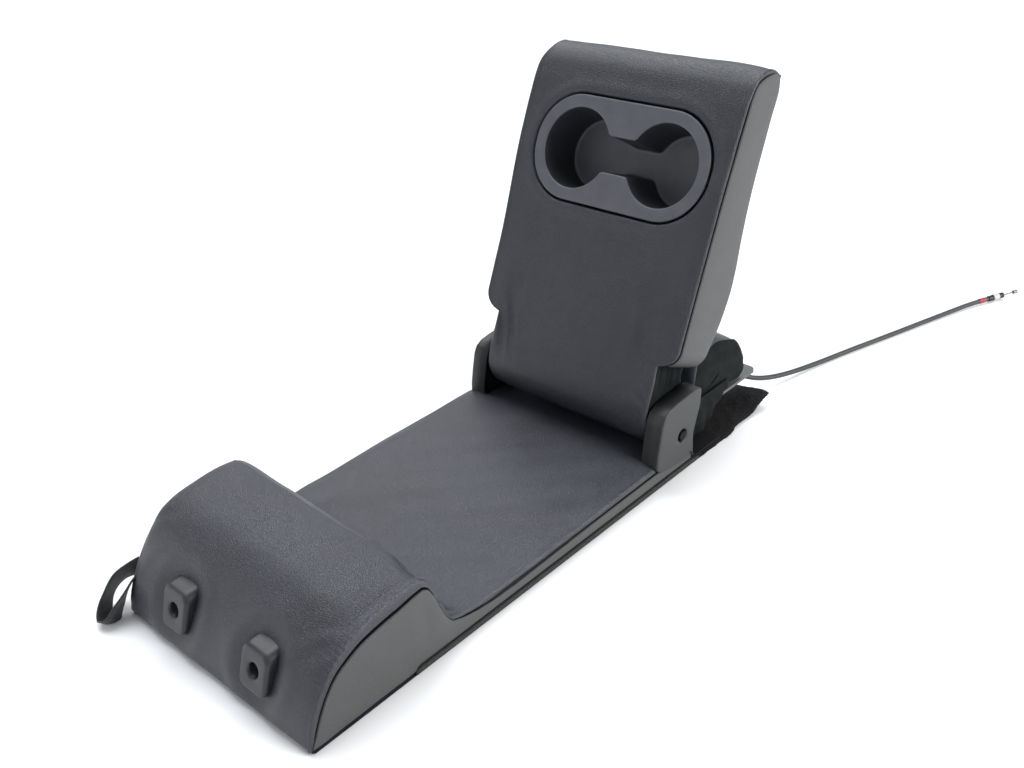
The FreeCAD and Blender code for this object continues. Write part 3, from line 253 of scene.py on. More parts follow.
def piece(name, points, quads, material, body, replaced=(), uv=None, wall=0.0):
    """A smooth mesh piece that rides on a body and stands for the replaced nodes."""
    mesh = bpy.data.meshes.new(name)
    mesh.from_pydata((points * MM).tolist(), [], quads.tolist())
    mesh.validate()
    mesh.polygons.foreach_set("use_smooth", np.ones(len(mesh.polygons), bool))
    if uv is not None:
        corner = np.zeros(len(mesh.loops), np.int32)
        mesh.loops.foreach_get("vertex_index", corner)
        layer = mesh.uv_layers.new(name="lay")
        layer.data.foreach_set("uv", (uv[corner] * MM).astype(np.float32).ravel())
    mesh.materials.append(material)
    mesh.update()
    made = bpy.data.objects.new(name, mesh)
    bpy.context.scene.collection.objects.link(made)
    if wall:
        thick = made.modifiers.new("wall", "SOLIDIFY")
        thick.thickness = wall * MM
        thick.offset = -1
    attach(made, body)
    if replaced:
        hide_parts(*replaced)
    return made


def paint_some(made, material, chosen):
    """A second finish on the chosen faces of a piece."""
    made.data.materials.append(material)
    made.data.polygons.foreach_set("material_index", np.asarray(chosen, np.int32))


def weld(made):
    """Points of a piece that lie together become one, which closes its ends and poles."""
    shell = bmesh.new()
    shell.from_mesh(made.data)
    bmesh.ops.remove_doubles(shell, verts=shell.verts, dist=1e-6)
    shell.to_mesh(made.data)
    shell.free()


def face_means(values):
    """The mean of a grid's values at each quad, in the order of grid_quads."""
    return ((values[:-1, :-1] + values[:-1, 1:] + values[1:, 1:] + values[1:, :-1]) / 4).ravel()


def grid_piece(name, grid, material, body, core, replaced=(), wrap=False, wall=0.0, holes=None):
    """A piece from a grid of points, without the quads whose four corners are all marked in holes."""
    rows, cols = grid.shape[:2]
    quads = grid_quads(rows, cols, wrap)
    points = grid.reshape(-1, 3)
    if holes is not None:
        quads = quads[~holes.reshape(-1)[quads].all(axis=1)]
    used, renumbered = np.unique(quads, return_inverse=True)
    quads = renumbered.reshape(quads.shape)
    points = points[used]
    return piece(name, points, outward(points, quads, core), material, body, replaced, wall=wall)


# Materials
def new_material(name, colour, roughness, **sockets):
    """A material with plain values on its shader's sockets."""
    material = bpy.data.materials.new(name)
    material.use_nodes = True
    shader = shader_of(material)
    shader.inputs["Base Color"].default_value = (*colour, 1)
    shader.inputs["Roughness"].default_value = roughness
    for socket, value in sockets.items():
        shader.inputs[socket.replace("_", " ")].default_value = value
    return material


def node(material, kind, **values):
    """A new node whose properties and sockets are set by name."""
    made = material.node_tree.nodes.new(kind)
    for name, value in values.items():
        if hasattr(made, name):
            setattr(made, name, value)
        else:
            made.inputs[name.replace("_", " ")].default_value = value
    return made


def link(material, out, into):
    """Joins one node's output to another node's input."""
    material.node_tree.links.new(out, into)


def shader_of(material):
    """The material's surface shader."""
    return material.node_tree.nodes["Principled BSDF"]


def place_of(material, stretch=(1, 1, 1), source="Object"):
    """The piece's own coordinates, stretched."""
    coords = node(material, "ShaderNodeTexCoord")
    mapping = node(material, "ShaderNodeMapping", Scale=stretch)
    link(material, coords.outputs[source], mapping.inputs["Vector"])
    return mapping.outputs["Vector"]


def noise(material, place, scale, detail=3.0, roughness=0.5):
    """Fractal noise from 0 to 1."""
    made = node(material, "ShaderNodeTexNoise", Scale=scale, Detail=detail, Roughness=roughness)
    link(material, place, made.inputs["Vector"])
    return made.outputs["Fac"]


def ranged(material, value, low, high, new_low, new_high):
    """A value carried in a straight line from one range to another."""
    made = node(material, "ShaderNodeMapRange", From_Min=low, From_Max=high,
                To_Min=new_low, To_Max=new_high)
    link(material, value, made.inputs["Value"])
    return made.outputs["Result"]


def sum_of(material, first, second, share=1.0):
    """The first value plus a share of the second."""
    made = node(material, "ShaderNodeMath", operation="MULTIPLY_ADD")
    made.inputs[1].default_value = share
    link(material, second, made.inputs[0])
    link(material, first, made.inputs[2])
    return made.outputs["Value"]


def tinted(material, value, dark, light):
    """Base colour that runs from dark to light with a value from 0 to 1."""
    mix = node(material, "ShaderNodeMix", data_type="RGBA")
    for socket in mix.inputs:
        if socket.type == "RGBA" and socket.name == "A":
            socket.default_value = (*dark, 1)
        if socket.type == "RGBA" and socket.name == "B":
            socket.default_value = (*light, 1)
    link(material, value, mix.inputs["Factor"])
    colour = next(out for out in mix.outputs if out.type == "RGBA")
    link(material, colour, shader_of(material).inputs["Base Color"])


def roughened(material, value, low, high):
    """Roughness that runs from low to high as the value goes from 0.3 to 0.7."""
    link(material, ranged(material, value, 0.3, 0.7, low, high), shader_of(material).inputs["Roughness"])


def bumped(material, height, strength, distance):
    """Surface relief from a height."""
    made = node(material, "ShaderNodeBump", Strength=strength, Distance=distance)
    link(material, height, made.inputs["Height"])
    link(material, made.outputs["Normal"], shader_of(material).inputs["Normal"])


def leather(name, dark, light, rough):
    """Embossed leather: cells about 2 mm across with fine pores, worn a little shinier in patches."""
    material = new_material(name, light, rough[0], Specular_IOR_Level=0.55)
    place = place_of(material)
    cells = node(material, "ShaderNodeTexVoronoi", feature="DISTANCE_TO_EDGE", Scale=600)
    wander = node(material, "ShaderNodeTexNoise", Scale=520, Detail=2.0)
    link(material, place, wander.inputs["Vector"])
    shift = node(material, "ShaderNodeVectorMath", operation="MULTIPLY_ADD")
    shift.inputs[1].default_value = (0.0013, 0.0013, 0.0013)
    link(material, wander.outputs["Color"], shift.inputs[0])
    link(material, place, shift.inputs[2])
    link(material, shift.outputs["Vector"], cells.inputs["Vector"])
    grain = ranged(material, cells.outputs["Distance"], 0.0, 0.16, 0.0, 1.0)
    pores = noise(material, place, 1500, 2.0)
    patches = noise(material, place, 16, 4.0, 0.6)
    bumped(material, sum_of(material, grain, pores, 0.6), 0.5, 0.00045)
    shade = sum_of(material, patches, grain, 0.2)
    tinted(material, ranged(material, shade, 0.3, 0.82, 0.0, 1.0), dark, light)
    roughened(material, patches, *rough)
    return material


def moulded(name, dark, light, rough, shine=0.4):
    """Moulded plastic with a fine spark texture and faint handling marks."""
    material = new_material(name, light, rough[0], Specular_IOR_Level=shine)
    place = place_of(material)
    spark = noise(material, place, 1500, 3.0, 0.7)
    marks = noise(material, place, 45, 5.0, 0.65)
    bumped(material, spark, 0.22, 0.0002)
    tinted(material, ranged(material, marks, 0.3, 0.75, 0.0, 1.0), dark, light)
    roughened(material, marks, *rough)
    return material


def cloth(name, dark, light):
    """Thin knitted backing: fine fuzz over uneven dye."""
    material = new_material(name, light, 0.9, Specular_IOR_Level=0.15)
    place = place_of(material)
    fuzz = noise(material, place, 1100, 5.0, 0.75)
    bumped(material, fuzz, 0.5, 0.0004)
    tinted(material, ranged(material, noise(material, place, 60, 4.0), 0.3, 0.7, 0.0, 1.0), dark, light)
    return material


def felt(name, dark, light):
    """Needled felt: matted fibres and lighter lint."""
    material = new_material(name, dark, 0.95, Specular_IOR_Level=0.2)
    place = place_of(material)
    matted = noise(material, place, 420, 6.0, 0.75)
    strands = noise(material, place_of(material, (1, 3.5, 1)), 900, 4.0, 0.8)
    bumped(material, sum_of(material, matted, strands, 0.8), 1.0, 0.0016)
    fibres = sum_of(material, matted, strands, 0.5)
    tinted(material, ranged(material, fibres, 0.55, 1.05, 0.0, 1.0), dark, light)
    return material


def webbing(name, dark, light):
    """Woven webbing: ribs across the strap and fine yarns along it, on the strap's own lay."""
    material = new_material(name, dark, 0.7, Sheen_Weight=0.2, Sheen_Roughness=0.4)
    lay = place_of(material, source="UV")
    ribs = node(material, "ShaderNodeTexWave", Scale=260, bands_direction="X")
    link(material, lay, ribs.inputs["Vector"])
    yarns = node(material, "ShaderNodeTexWave", Scale=330, bands_direction="Y")
    link(material, lay, yarns.inputs["Vector"])
    woven = sum_of(material, ribs.outputs["Fac"], yarns.outputs["Fac"], 0.7)
    bumped(material, woven, 0.5, 0.0004)
    tinted(material, ranged(material, woven, 0.2, 1.6, 0.0, 1.0), dark, light)
    return material


def metal(name, colour, roughness):
    """Bare or plated metal with faint unevenness."""
    material = new_material(name, colour, roughness, Metallic=1.0)
    place = place_of(material)
    bumped(material, noise(material, place, 900, 3.0), 0.08, 0.0001)
    roughened(material, noise(material, place, 60, 4.0), roughness * 0.8, roughness * 1.3)
    return material


FACE_LEATHER = leather("face_leather", (0.0185, 0.0197, 0.0265), (0.0335, 0.0355, 0.0462), (0.32, 0.43))
SIDE_LEATHER = leather("side_leather", (0.036, 0.0368, 0.0366), (0.056, 0.0573, 0.0568), (0.46, 0.58))
CUP_PLASTIC = moulded("cup_plastic", (0.088, 0.091, 0.104), (0.114, 0.118, 0.133), (0.4, 0.52))
CUP_SHADE = moulded("cup_shade", (0.016, 0.017, 0.0215), (0.022, 0.023, 0.028), (0.5, 0.6))
GUIDE_PLASTIC = moulded("guide_plastic", (0.022, 0.023, 0.027), (0.033, 0.0345, 0.039), (0.3, 0.42))
HINGE_PLASTIC = moulded("hinge_plastic", (0.026, 0.0265, 0.0285), (0.038, 0.0387, 0.041), (0.42, 0.54))
FLAP_PLASTIC = moulded("flap_plastic", (0.075, 0.077, 0.081), (0.11, 0.112, 0.117), (0.5, 0.6))
BACKING_CLOTH = cloth("backing_cloth", (0.0035, 0.005, 0.0048), (0.0085, 0.0112, 0.0106))
BLACK_FELT = felt("black_felt", (0.004, 0.004, 0.0045), (0.034, 0.034, 0.036))
# Near-black painted shade for the seam grooves and the ear's pleat, where the folds fall into shadow
PAINTED_CREASE_SHADE = cloth("painted_crease_shade", (0.002, 0.002, 0.0022), (0.004, 0.004, 0.0044))
FELT_EDGE = felt("felt_edge", (0.035, 0.036, 0.034), (0.09, 0.092, 0.085))
BLACK_WEBBING = webbing("black_webbing", (0.012, 0.012, 0.014), (0.035, 0.036, 0.04))
BLACK_PAINT = moulded("black_paint", (0.007, 0.007, 0.008), (0.012, 0.012, 0.013), (0.7, 0.85), 0.15)
ZINC = metal("zinc_plate", (0.55, 0.55, 0.54), 0.35)
DULL_STEEL = metal("dull_steel", (0.2, 0.2, 0.205), 0.45)
SHEATH = moulded("cable_sheath", (0.03, 0.031, 0.033), (0.044, 0.045, 0.047), (0.4, 0.5))
# Black plastic of the gland and ferrule, also used as painted shade inside the guides' post holes
BLACK_PLASTIC_AND_HOLE_SHADE = moulded("ferrule_black_and_hole_shade", (0.01, 0.01, 0.01), (0.018, 0.018, 0.018), (0.35, 0.45))
WHITE_PLASTIC = moulded("collar_white", (0.42, 0.42, 0.4), (0.52, 0.52, 0.5), (0.35, 0.45))
RED_BAND = moulded("red_band", (0.24, 0.028, 0.042), (0.33, 0.045, 0.06), (0.4, 0.5))
ACETAL = moulded("bush_acetal", (0.6, 0.59, 0.55), (0.7, 0.69, 0.65), (0.3, 0.4))


# Camera, as solved from the photograph
CAMERA_PLACE = (0.64343, -0.53501, 0.62903)
CAMERA_YAW, CAMERA_PITCH, CAMERA_ROLL = (math.radians(angle) for angle in (44.452, 29.606, -3.851))
FOCAL_PX = 1107.672
FRAME_WIDTH_PX = 1024


def make_camera():
    """The view direction from yaw and pitch, turned about itself by the roll."""
    forward = Vector((-math.sin(CAMERA_YAW) * math.cos(CAMERA_PITCH),
                      math.cos(CAMERA_YAW) * math.cos(CAMERA_PITCH), -math.sin(CAMERA_PITCH)))
    level = Vector((math.cos(CAMERA_YAW), math.sin(CAMERA_YAW), 0))
    upright = level.cross(forward)
    right = level * math.cos(CAMERA_ROLL) + upright * math.sin(CAMERA_ROLL)
    up = upright * math.cos(CAMERA_ROLL) - level * math.sin(CAMERA_ROLL)
    lens = bpy.data.cameras.new("camera")
    lens.sensor_width = 36
    lens.lens = FOCAL_PX / FRAME_WIDTH_PX * lens.sensor_width
    lens.clip_start = 0.01
    holder = bpy.data.objects.new("camera", lens)
    turn = Matrix((right, up, -forward)).transposed().to_4x4()
    holder.matrix_world = Matrix.Translation(CAMERA_PLACE) @ turn
    bpy.context.scene.collection.objects.link(holder)
    bpy.context.scene.camera = holder


make_camera()


# Release cable: the control points of its smooth line, close to the runs and arcs of its solid
CABLE_ROUTE = [
    (78, 372, 32.4), (82, 386, 28), (92, 399, 18.5), (101, 421, 11), (110, 452, 6), (121, 496, 3),
    (136, 548, 3), (148, 586, 3), (160, 625, 3), (172, 665, 3.1), (185, 706, 3.4), (197, 742, 4.2),
    (208, 764, 4.7),
]
CABLE_DIAMETER = 0.0056


def release_cable():
    """A smooth NURBS line with the route as its control points, with a round section."""
    line = bpy.data.curves.new("cable_line", "CURVE")
    line.dimensions = "3D"
    spline = line.splines.new("NURBS")
    spline.points.add(len(CABLE_ROUTE) - 1)
    for point, place in zip(spline.points, CABLE_ROUTE):
        point.co = (*(value * MM for value in place), 1)
    spline.order_u = 3
    spline.use_endpoint_u = True
    spline.resolution_u = 12
    line.bevel_depth = CABLE_DIAMETER / 2
    line.bevel_resolution = 4
    line.use_fill_caps = True
    line.materials.append(SHEATH)
    made = bpy.data.objects.new("cable_sheath_line", line)
    bpy.context.scene.collection.objects.link(made)
    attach(made, "seatback")
    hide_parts("release_cable")


release_cable()


# Seat back: the bolster and pad in one leather cover, sewn to a panel at each side
# Its lines hold (y, z) points: the hem, up the bolster's front, down its back wall and along the pad
HEM = [(-134, 0.6), (-200, 0.5), (-236, 0.6)]
SEAM_RISE = [
    (-236, 0.6), (-239, 3), (-237, 9), (-233, 17), (-224, 35), (-216, 47), (-206, 57), (-195, 63),
    (-186, 67), (-161, 72.5), (-141, 75), (-125, 77.5), (-117, 78),
]
SEAM_DROP = [(-117, 78), (-112, 75), (-108, 68), (-102, 51), (-96, 37), (-90, 29)]
SEAM_PAD = [(-90, 29), (-77, 24), (-62, 21), (-36, 18.8), (42, 19.5), (120, 20.5), (181, 21), (258, 21)]
MID_RISE = [
    (-236, 0.6), (-240.5, 5), (-240, 14), (-232, 37), (-219.5, 57.5), (-209, 71), (-197, 82.5), (-181, 91),
    (-156, 96), (-131, 97), (-117, 95.5),
]
MID_DROP = [(-117, 95.5), (-110.6, 91), (-108, 82), (-107.4, 68), (-107.2, 52), (-104.5, 41), (-98, 33.5)]
MID_PAD = [
    (-98, 33.5), (-89, 30), (-76, 28.8), (-36, 28.6), (42, 28.6), (120, 28.6), (181, 28.4), (258, 27),
]
LINE_ROWS = (14, 110, 34, 150)
LEATHER_COLUMNS = 170
SEAM_HALF = box_mm("side_panel_right")[1][0] - 2.3
LEATHER_HALF = SEAM_HALF + 0.6
LEFT_SPREAD = 3.5
NOTCH_START = 185
NOTCH_HALF = 104
FLOOR_GAP = 0.3
PLEAT_INSET = 4.6
PANEL_END = 243
PAN_STEP = (-136, -128)
PANEL_FOOT, PANEL_FOOT_RISE = 0.9, 8.1
LEATHER_WALL = 1.0
GUIDE_RISE = 39.0


def joined(*runs):
    """Lines end to end, each as (points, count), without the repeated joints."""
    lines = [drawn(points, count) for points, count in runs]
    return np.vstack([lines[0]] + [line[1:] for line in lines[1:]])


def box_middle(name):
    """The middle of a node's box, in millimetres."""
    low, high = box_mm(name)
    return (low + high) / 2


SEAT_SEAM = joined(*zip((HEM, SEAM_RISE, SEAM_DROP, SEAM_PAD), LINE_ROWS))
SEAT_MID = joined(*zip((HEM, MID_RISE, MID_DROP, MID_PAD), LINE_ROWS))
WALL_FOOT_ROW = sum(LINE_ROWS[:3]) - 4
GUIDES = [(word, box_middle("headrest_guide_" + word)) for word in ("left", "right")]


def seat_dents(grid, from_seam):
    """The lift of the cover away from its seams, which fades out towards them.

    It is slow unevenness, a lower right end, a dent with a raised rim round each guide, slack creases at the
    bolster's front corners and a pull at the bolster's back edge, beside the ear.
    """
    x, y, z = np.moveaxis(grid, 2, 0)
    front = ramp(-y, 190, 205)
    lift = 1.1 * ripple(grid, 120, 5) + 0.4 * ripple(grid, 46, 9)
    lift -= 3.4 * (x / 100) * ramp(z, 55, 85)
    for _, guide in GUIDES:
        away = np.hypot((x - guide[0]) * 1.05, z - GUIDE_RISE)
        lift -= front * 5.5 * np.exp(-(away / 25) ** 4)
        lift += front * 1.6 * bump_at(away, 38, 9)
    lift += 0.8 * wave(y * 0.7 - x * 0.5, 13) * bump_at(from_seam, 18, 13) * bump_at(y, -206, 15)
    lift -= 3.6 * bump_at(y, -113, 7) * bump_at(from_seam, 15, 13) * ramp(z, 70, 84) * (x > 0)
    return lift * (0.2 + 0.8 * ramp(from_seam, 0.5, 9))


def seam_folds(grid, from_seam, row):
    """The lift of the cover close to its seams.

    It is a fuller left edge along the pad, small puckers at the bolster's front, the ear where the seam drops
    to the pad, with its pleat, and the lip along the stitching.
    """
    x, y, z = np.moveaxis(grid, 2, 0)
    lift = 1.6 * ramp(-x, 84, 112) * ramp(y, -75, -40)
    pucker = wave(y + 0.55 * z, 5.2) * np.exp(-from_seam / 7) * bump_at(y, -203, 19) * (x > 0)
    lift += 0.6 * pucker * ramp(from_seam, 0.3, 2)
    lift += bump_at(row, -3, 6.5) * 9.0 * ramp(from_seam, 4.0, 8.0) * (1 - ramp(from_seam, 8.5, 34))
    pleat = 1.2 * bump_at(from_seam, 2.4, 1.1) - 3.4 * bump_at(from_seam, PLEAT_INSET, 1.0)
    lift += bump_at(row, -6, 8) * pleat
    lip = 0.8 * bump_at(from_seam, 3.2, 1.6) - 1.1 * (1 - ramp(from_seam, 0, 1.5))
    return lift + lip * ramp(z, 8, 20)


def seat_leather():
    """The padded cover: a crowned sheet moved along its normals by its dents and folds, and off the floor."""
    y = SEAT_SEAM[:, 0]
    half = LEATHER_HALF - (LEATHER_HALF - NOTCH_HALF) * ramp(y, NOTCH_START, NOTCH_START + 5)
    grid = crowned((SEAT_SEAM, SEAT_SEAM), SEAT_MID, half, LEATHER_COLUMNS, (22, 8), 0.48)
    normal = grid_normals(grid)
    if normal[60, LEATHER_COLUMNS // 2, 1] > 0:
        normal = -normal
    from_seam = half[:, None] - np.abs(grid[..., 0])
    row = np.arange(len(grid))[:, None] - WALL_FOOT_ROW
    lift = seat_dents(grid, from_seam) + seam_folds(grid, from_seam, row)
    grid = grid + normal * (lift * ramp(grid[..., 2], 1.2, 12))[..., None]
    grid[..., 0] -= LEFT_SPREAD * ramp(-grid[..., 0], 60, 118)
    grid[..., 2] = np.maximum(grid[..., 2], FLOOR_GAP)
    grid = rolled_under(grid, 3.0, (0, -1.0))
    grid[..., 2] = np.maximum(grid[..., 2], FLOOR_GAP)
    made = grid_piece("seat_leather", grid, FACE_LEATHER, "seatback", (0, 0, 20),
                      ["seat_cover", "seat_foam"])
    # Painted shade: the faces along the pleat's fold get the near-black crease finish, standing in for its
    # fold shadow
    pleat_half = 1.1 * np.maximum(bump_at(row, -5, 6), 1e-9)
    from_pleat = np.pad(np.abs(from_seam - PLEAT_INSET) / pleat_half, ((0, 0), (1, 1)), constant_values=9)
    paint_some(made, PAINTED_CREASE_SHADE, face_means(from_pleat) < 1)


def seat_side(side, word):
    """A side panel: rows run from the foot up to the seam, bowed out between and turned in at both."""
    keep = (SEAT_SEAM[:, 0] < PANEL_END) & (np.arange(len(SEAT_SEAM)) >= LINE_ROWS[0] - 1)
    top = SEAT_SEAM[keep] - (0, 1.3)
    raised = ramp(top[:, 0], *PAN_STEP)
    foot = np.stack([top[:, 0], PANEL_FOOT + PANEL_FOOT_RISE * raised], axis=1)
    top[:, 1] = np.maximum(top[:, 1], foot[:, 1] + 0.3)
    height = top[:, 1] - foot[:, 1]
    w = edge_spaced(height, 34, both=False)
    yz = foot[:, None, :] + (top - foot)[:, None, :] * w[..., None]
    tall = np.minimum(height / 30, 1)[:, None]
    above = yz[..., 1] - foot[:, None, 1]
    below = top[:, None, 1] - yz[..., 1]
    x = SEAM_HALF + 0.7 + LEFT_SPREAD * (side < 0) + 1.4 * tall * (1 - np.abs(2 * w - 1) ** 3.0) ** 0.7
    x = x - 4.5 * (1 - np.clip(above / 6.4, 0, 1)) ** 2 * (1 - raised)[:, None]
    x = x - 1.8 * (1 - ramp(below, 0.2, 1.6))
    grid = np.concatenate([x[:, :, None] * side, yz], axis=2)
    dents = 0.7 * ripple(grid, 70, 21) + 0.25 * ripple(grid, 24, 22)
    fold = bump_at(grid[..., 1], -118, 7) * bump_at(grid[..., 2], 50, 22)
    grid[..., 0] += side * tall * (dents - 1.0 * fold) * w * (1 - w) * 4
    made = grid_piece("side_leather_" + word, grid, SIDE_LEATHER, "seatback", (0, -40, 25),
                      ["side_panel_" + word], wall=LEATHER_WALL)
    # Painted shade: the faces next to the seam, in its groove, get the near-black crease finish
    paint_some(made, PAINTED_CREASE_SHADE, face_means(below) < 0.85)


seat_leather()
for side, word in SIDES:
    seat_side(side, word)


# Headrest guides: moulded heads that stand out of the bolster, each with its post hole
GUIDE_FACE = HEAD - 1
GUIDE_HALF = (17.0, 18.0)
GUIDE_CORNER = 7.5
GUIDE_LEAN = 12.0
GUIDE_POINTS = 96
POST_RADIUS = 6.0
# Rings of the head as (inset, distance behind the face), and of its hole as (wider than the post, distance)
GUIDE_RIM = (
    (-1.2, 36), (-1.0, 24), (-0.4, 10), (0, 4.2), (0.5, 2.2), (1.4, 0.8), (2.6, 0.1), (4.0, 0), (7.0, 0.15),
)
POST_HOLE = ((2.2, 0.3), (1.0, 0.6), (0.3, 1.6), (0, 3), (0, 40), (-POST_RADIUS, 40))
HOLE_WALL_RINGS = 4


def headrest_guide(centre, word):
    """Rings from the leather outwards over a rounded rim, then in to the hole and down it.

    Each ring is a rounded rectangle or a circle, and the head's face leans back towards its top.
    """
    rings = []
    for inset, back in GUIDE_RIM:
        corner = GUIDE_CORNER - min(inset, 4.0) * 0.6
        loop = rounded_rectangle(GUIDE_HALF[0] - inset, GUIDE_HALF[1] - inset, corner, GUIDE_POINTS)
        rings.append((loop, back))
    for wider, back in POST_HOLE:
        rings.append(((POST_RADIUS + wider) * unit_circle(GUIDE_POINTS), back))
    grid = []
    for loop, back in rings:
        lean = GUIDE_LEAN * (loop[:, 1] + GUIDE_HALF[1]) / (2 * GUIDE_HALF[1]) * (1 - min(back, 36) / 60)
        ring = (centre[0] + loop[:, 0], GUIDE_FACE + back + lean, GUIDE_RISE + loop[:, 1])
        grid.append(np.stack(ring, axis=1))
    made = grid_piece("guide_head_" + word, np.array(grid), GUIDE_PLASTIC, "seatback",
                      (centre[0], GUIDE_FACE + 25, GUIDE_RISE), ["headrest_guide_" + word], wrap=True)
    # Painted shade: the rings down the post hole get the black finish, so the hole reads dark as in shadow
    ring_of_face = np.arange(len(made.data.polygons)) // GUIDE_POINTS
    paint_some(made, BLACK_PLASTIC_AND_HOLE_SHADE, ring_of_face >= len(rings) - HOLE_WALL_RINGS)
    weld(made)


for word, guide in GUIDES:
    headrest_guide(guide, word)


# Armrest, in its own frame: leather round the front, tip and back, and a panel at each side
# Its lines hold (depth, rise) points. The right seam has the sewn tip, and the rest has the padded one
NECK_FRONT = [
    (8, -35.6), (-8, -35.4), (-21, -29.4), (-31.5, -17), (-35.4, -3), (-36.2, 15), (-36.5, 40), (-36.8, 75),
    (-37, 150), (-37, 230),
]
ARM_BACK = [
    (14.8, 284), (18, 226), (24, 176), (29.8, 142), (31, 126), (29.4, 104), (25.6, 84), (19.5, 64), (16, 48),
    (17, 30), (25.5, 17), (33.5, 3), (32.6, -13), (24, -27), (8, -35.6),
]
PADDED_TIP = [(-36.6, 270), (-35, 294), (-30.5, 312), (-22, 324.5), (-9, 331), (3, 328.5), (11, 318)]
SEWN_TIP = [(-36.8, 281), (-35.8, 300), (-31.5, 313), (-20, 323.5), (-4, 330.5), (7.5, 331), (13, 320)]
ARM_ROWS = 430
ARM_COLUMNS = 180
ARM_CORE = np.array([0.0, -6.0, 160.0])
NECK_CORE = np.array([0.0, -6.0, 30.0])
SEAM_INSET = 3.8
SHOULDER = (43.5, 62)
PANEL_START = 43
NECK_SEAM = box_mm("neck_cloth_right")[1][0] + 1.0
ARM_SEAM_HALF = box_mm("armrest_side_right")[1][0] - 2.2
NECK_CLOTH_ENDS = (52, -29)
CLOTH_WALL = 0.8


def line_inset(line, inset):
    """A line moved to its right-hand side by inset, which may differ from point to point."""
    way = np.gradient(line, axis=0)
    way /= np.maximum(np.linalg.norm(way, axis=1, keepdims=True), 1e-9)
    return line + np.asarray(inset).reshape(-1, 1) * np.stack([way[:, 1], -way[:, 0]], axis=1)


def arm_lines():
    """The middle line and the left and right seams as matched rows, which crowd together beside the cups."""
    middle = through(NECK_FRONT + PADDED_TIP + ARM_BACK)
    sewn = through(NECK_FRONT + SEWN_TIP + ARM_BACK)
    between = (middle[1:] + middle[:-1]) / 2
    beside = (between[:, 0] < -30) & (np.abs(between[:, 1] - CUP_RISE) < BEZEL_HALF[1] + 9)
    steps = np.linalg.norm(np.diff(middle, axis=0), axis=1) * np.where(beside, 2.4, 1.0)
    run = np.concatenate([[0], np.cumsum(steps)])
    at = np.interp(np.linspace(0, run[-1], ARM_ROWS), run, np.arange(len(middle)))
    lines = [np.stack([np.interp(at, np.arange(len(line)), line[:, axis]) for axis in (0, 1)], axis=1)
             for line in (middle, sewn)]
    return lines[0], line_inset(lines[0], SEAM_INSET), line_inset(lines[1], SEAM_INSET)


ARM_MID, ARM_SEAM_LEFT, ARM_SEAM = arm_lines()
TIP = int(np.argmax(ARM_MID[:, 1]))


def arm_half(rise, side):
    """The seam's distance from the middle: narrow at the neck, full width above the rounded shoulder.

    The left edge swells towards the tip, and the right one is drawn in a little below it.
    """
    swollen = 5.5 * ramp(rise, 110, 235) - 8 * ramp(rise, 298, 334)
    drawn_in = 1.4 * ramp(rise, 190, 300) - 1.4
    full = ARM_SEAM_HALF + np.where(side < 0, swollen, drawn_in)
    t = np.clip((rise - SHOULDER[0]) / (SHOULDER[1] - SHOULDER[0]), 0, 1)
    return NECK_SEAM + (full - NECK_SEAM) * np.sqrt(1 - (1 - t) ** 2)


def bezel_distance(x, rise):
    """Distance outside the cup holder's rim, a rounded rectangle; negative inside it."""
    qx = np.abs(x) - (BEZEL_HALF[0] - BEZEL_ROUND)
    qz = np.abs(rise - CUP_RISE) - (BEZEL_HALF[1] - BEZEL_ROUND)
    outside = np.hypot(np.maximum(qx, 0), np.maximum(qz, 0))
    return outside + np.minimum(np.maximum(qx, qz), 0) - BEZEL_ROUND


def neck_folds(x, rise):
    """Soft folds above the neck and at its left edge, which only go in, and fine tucks at its foot."""
    wide = np.abs(x)
    fold = (wave(x + 12, 34) - 1) * bump_at(wide, 82, 24) * bump_at(rise, 62, 34)
    slack = (wave(x * 0.9 + rise * 0.25, 15) - 1) * bump_at(x, -88, 15) * bump_at(rise, 30, 24)
    tuck = wave(rise * 0.8 + wide * 0.5, 11) * bump_at(wide, 98, 12) * bump_at(rise, 8, 12)
    return 1.2 * fold + 1.3 * slack + 0.6 * tuck


def armrest_leather():
    """The cover, narrow at the neck, dipped round the cup holder and softly folded above the neck."""
    grid = crowned((ARM_SEAM_LEFT, ARM_SEAM), ARM_MID, np.ones(ARM_ROWS), ARM_COLUMNS, (12, 12), 0.5)
    half = arm_half(ARM_MID[:, 1:], np.sign(grid[..., 0]))
    grid[..., 0] *= half
    normal = grid_normals(grid)
    if normal[TIP // 2, ARM_COLUMNS // 2, 1] > 0:
        normal = -normal
    x, depth, rise = np.moveaxis(grid, 2, 0)
    front = np.broadcast_to((np.arange(ARM_ROWS) <= TIP)[:, None], x.shape) & (depth < -5)
    from_seam = half - np.abs(x)
    lift = 0.7 * ripple(grid, 130, 31) + 0.3 * ripple(grid, 50, 33) - 0.5
    lift = lift + np.where(front, neck_folds(x, rise), 0)
    lift = np.minimum(lift, 0.2 + 0.6 * ramp(rise, 20, 60))
    away = bezel_distance(x, rise)
    dip = 7.5 * (1 - ramp(away, 0.4, 3.0)) - 1.1 * bump_at(away, 8, 6)
    lift = lift * ramp(from_seam, 0.3, 10) - np.where(front, dip, 0)
    lip = 0.7 * bump_at(from_seam, 3.2, 1.6) - 1.0 * (1 - ramp(from_seam, 0, 1.5))
    lift += lip * ramp(rise, 20, 40)
    holes = np.pad(front & (away < -1.5), ((0, 0), (1, 1)))
    grid = rolled_under(grid + normal * lift[..., None], 3.0, (0, 0))
    toward_core = (np.array([-4.0, 150.0]) - ARM_MID) / 160
    grid[:, [0, -1], 1:] += 1.2 * toward_core[:, None, :]
    made = grid_piece("armrest_leather", to_world(grid), FACE_LEATHER, "armrest",
                      to_world(ARM_CORE), ["armrest_cover", "armrest_foam"], holes=holes)


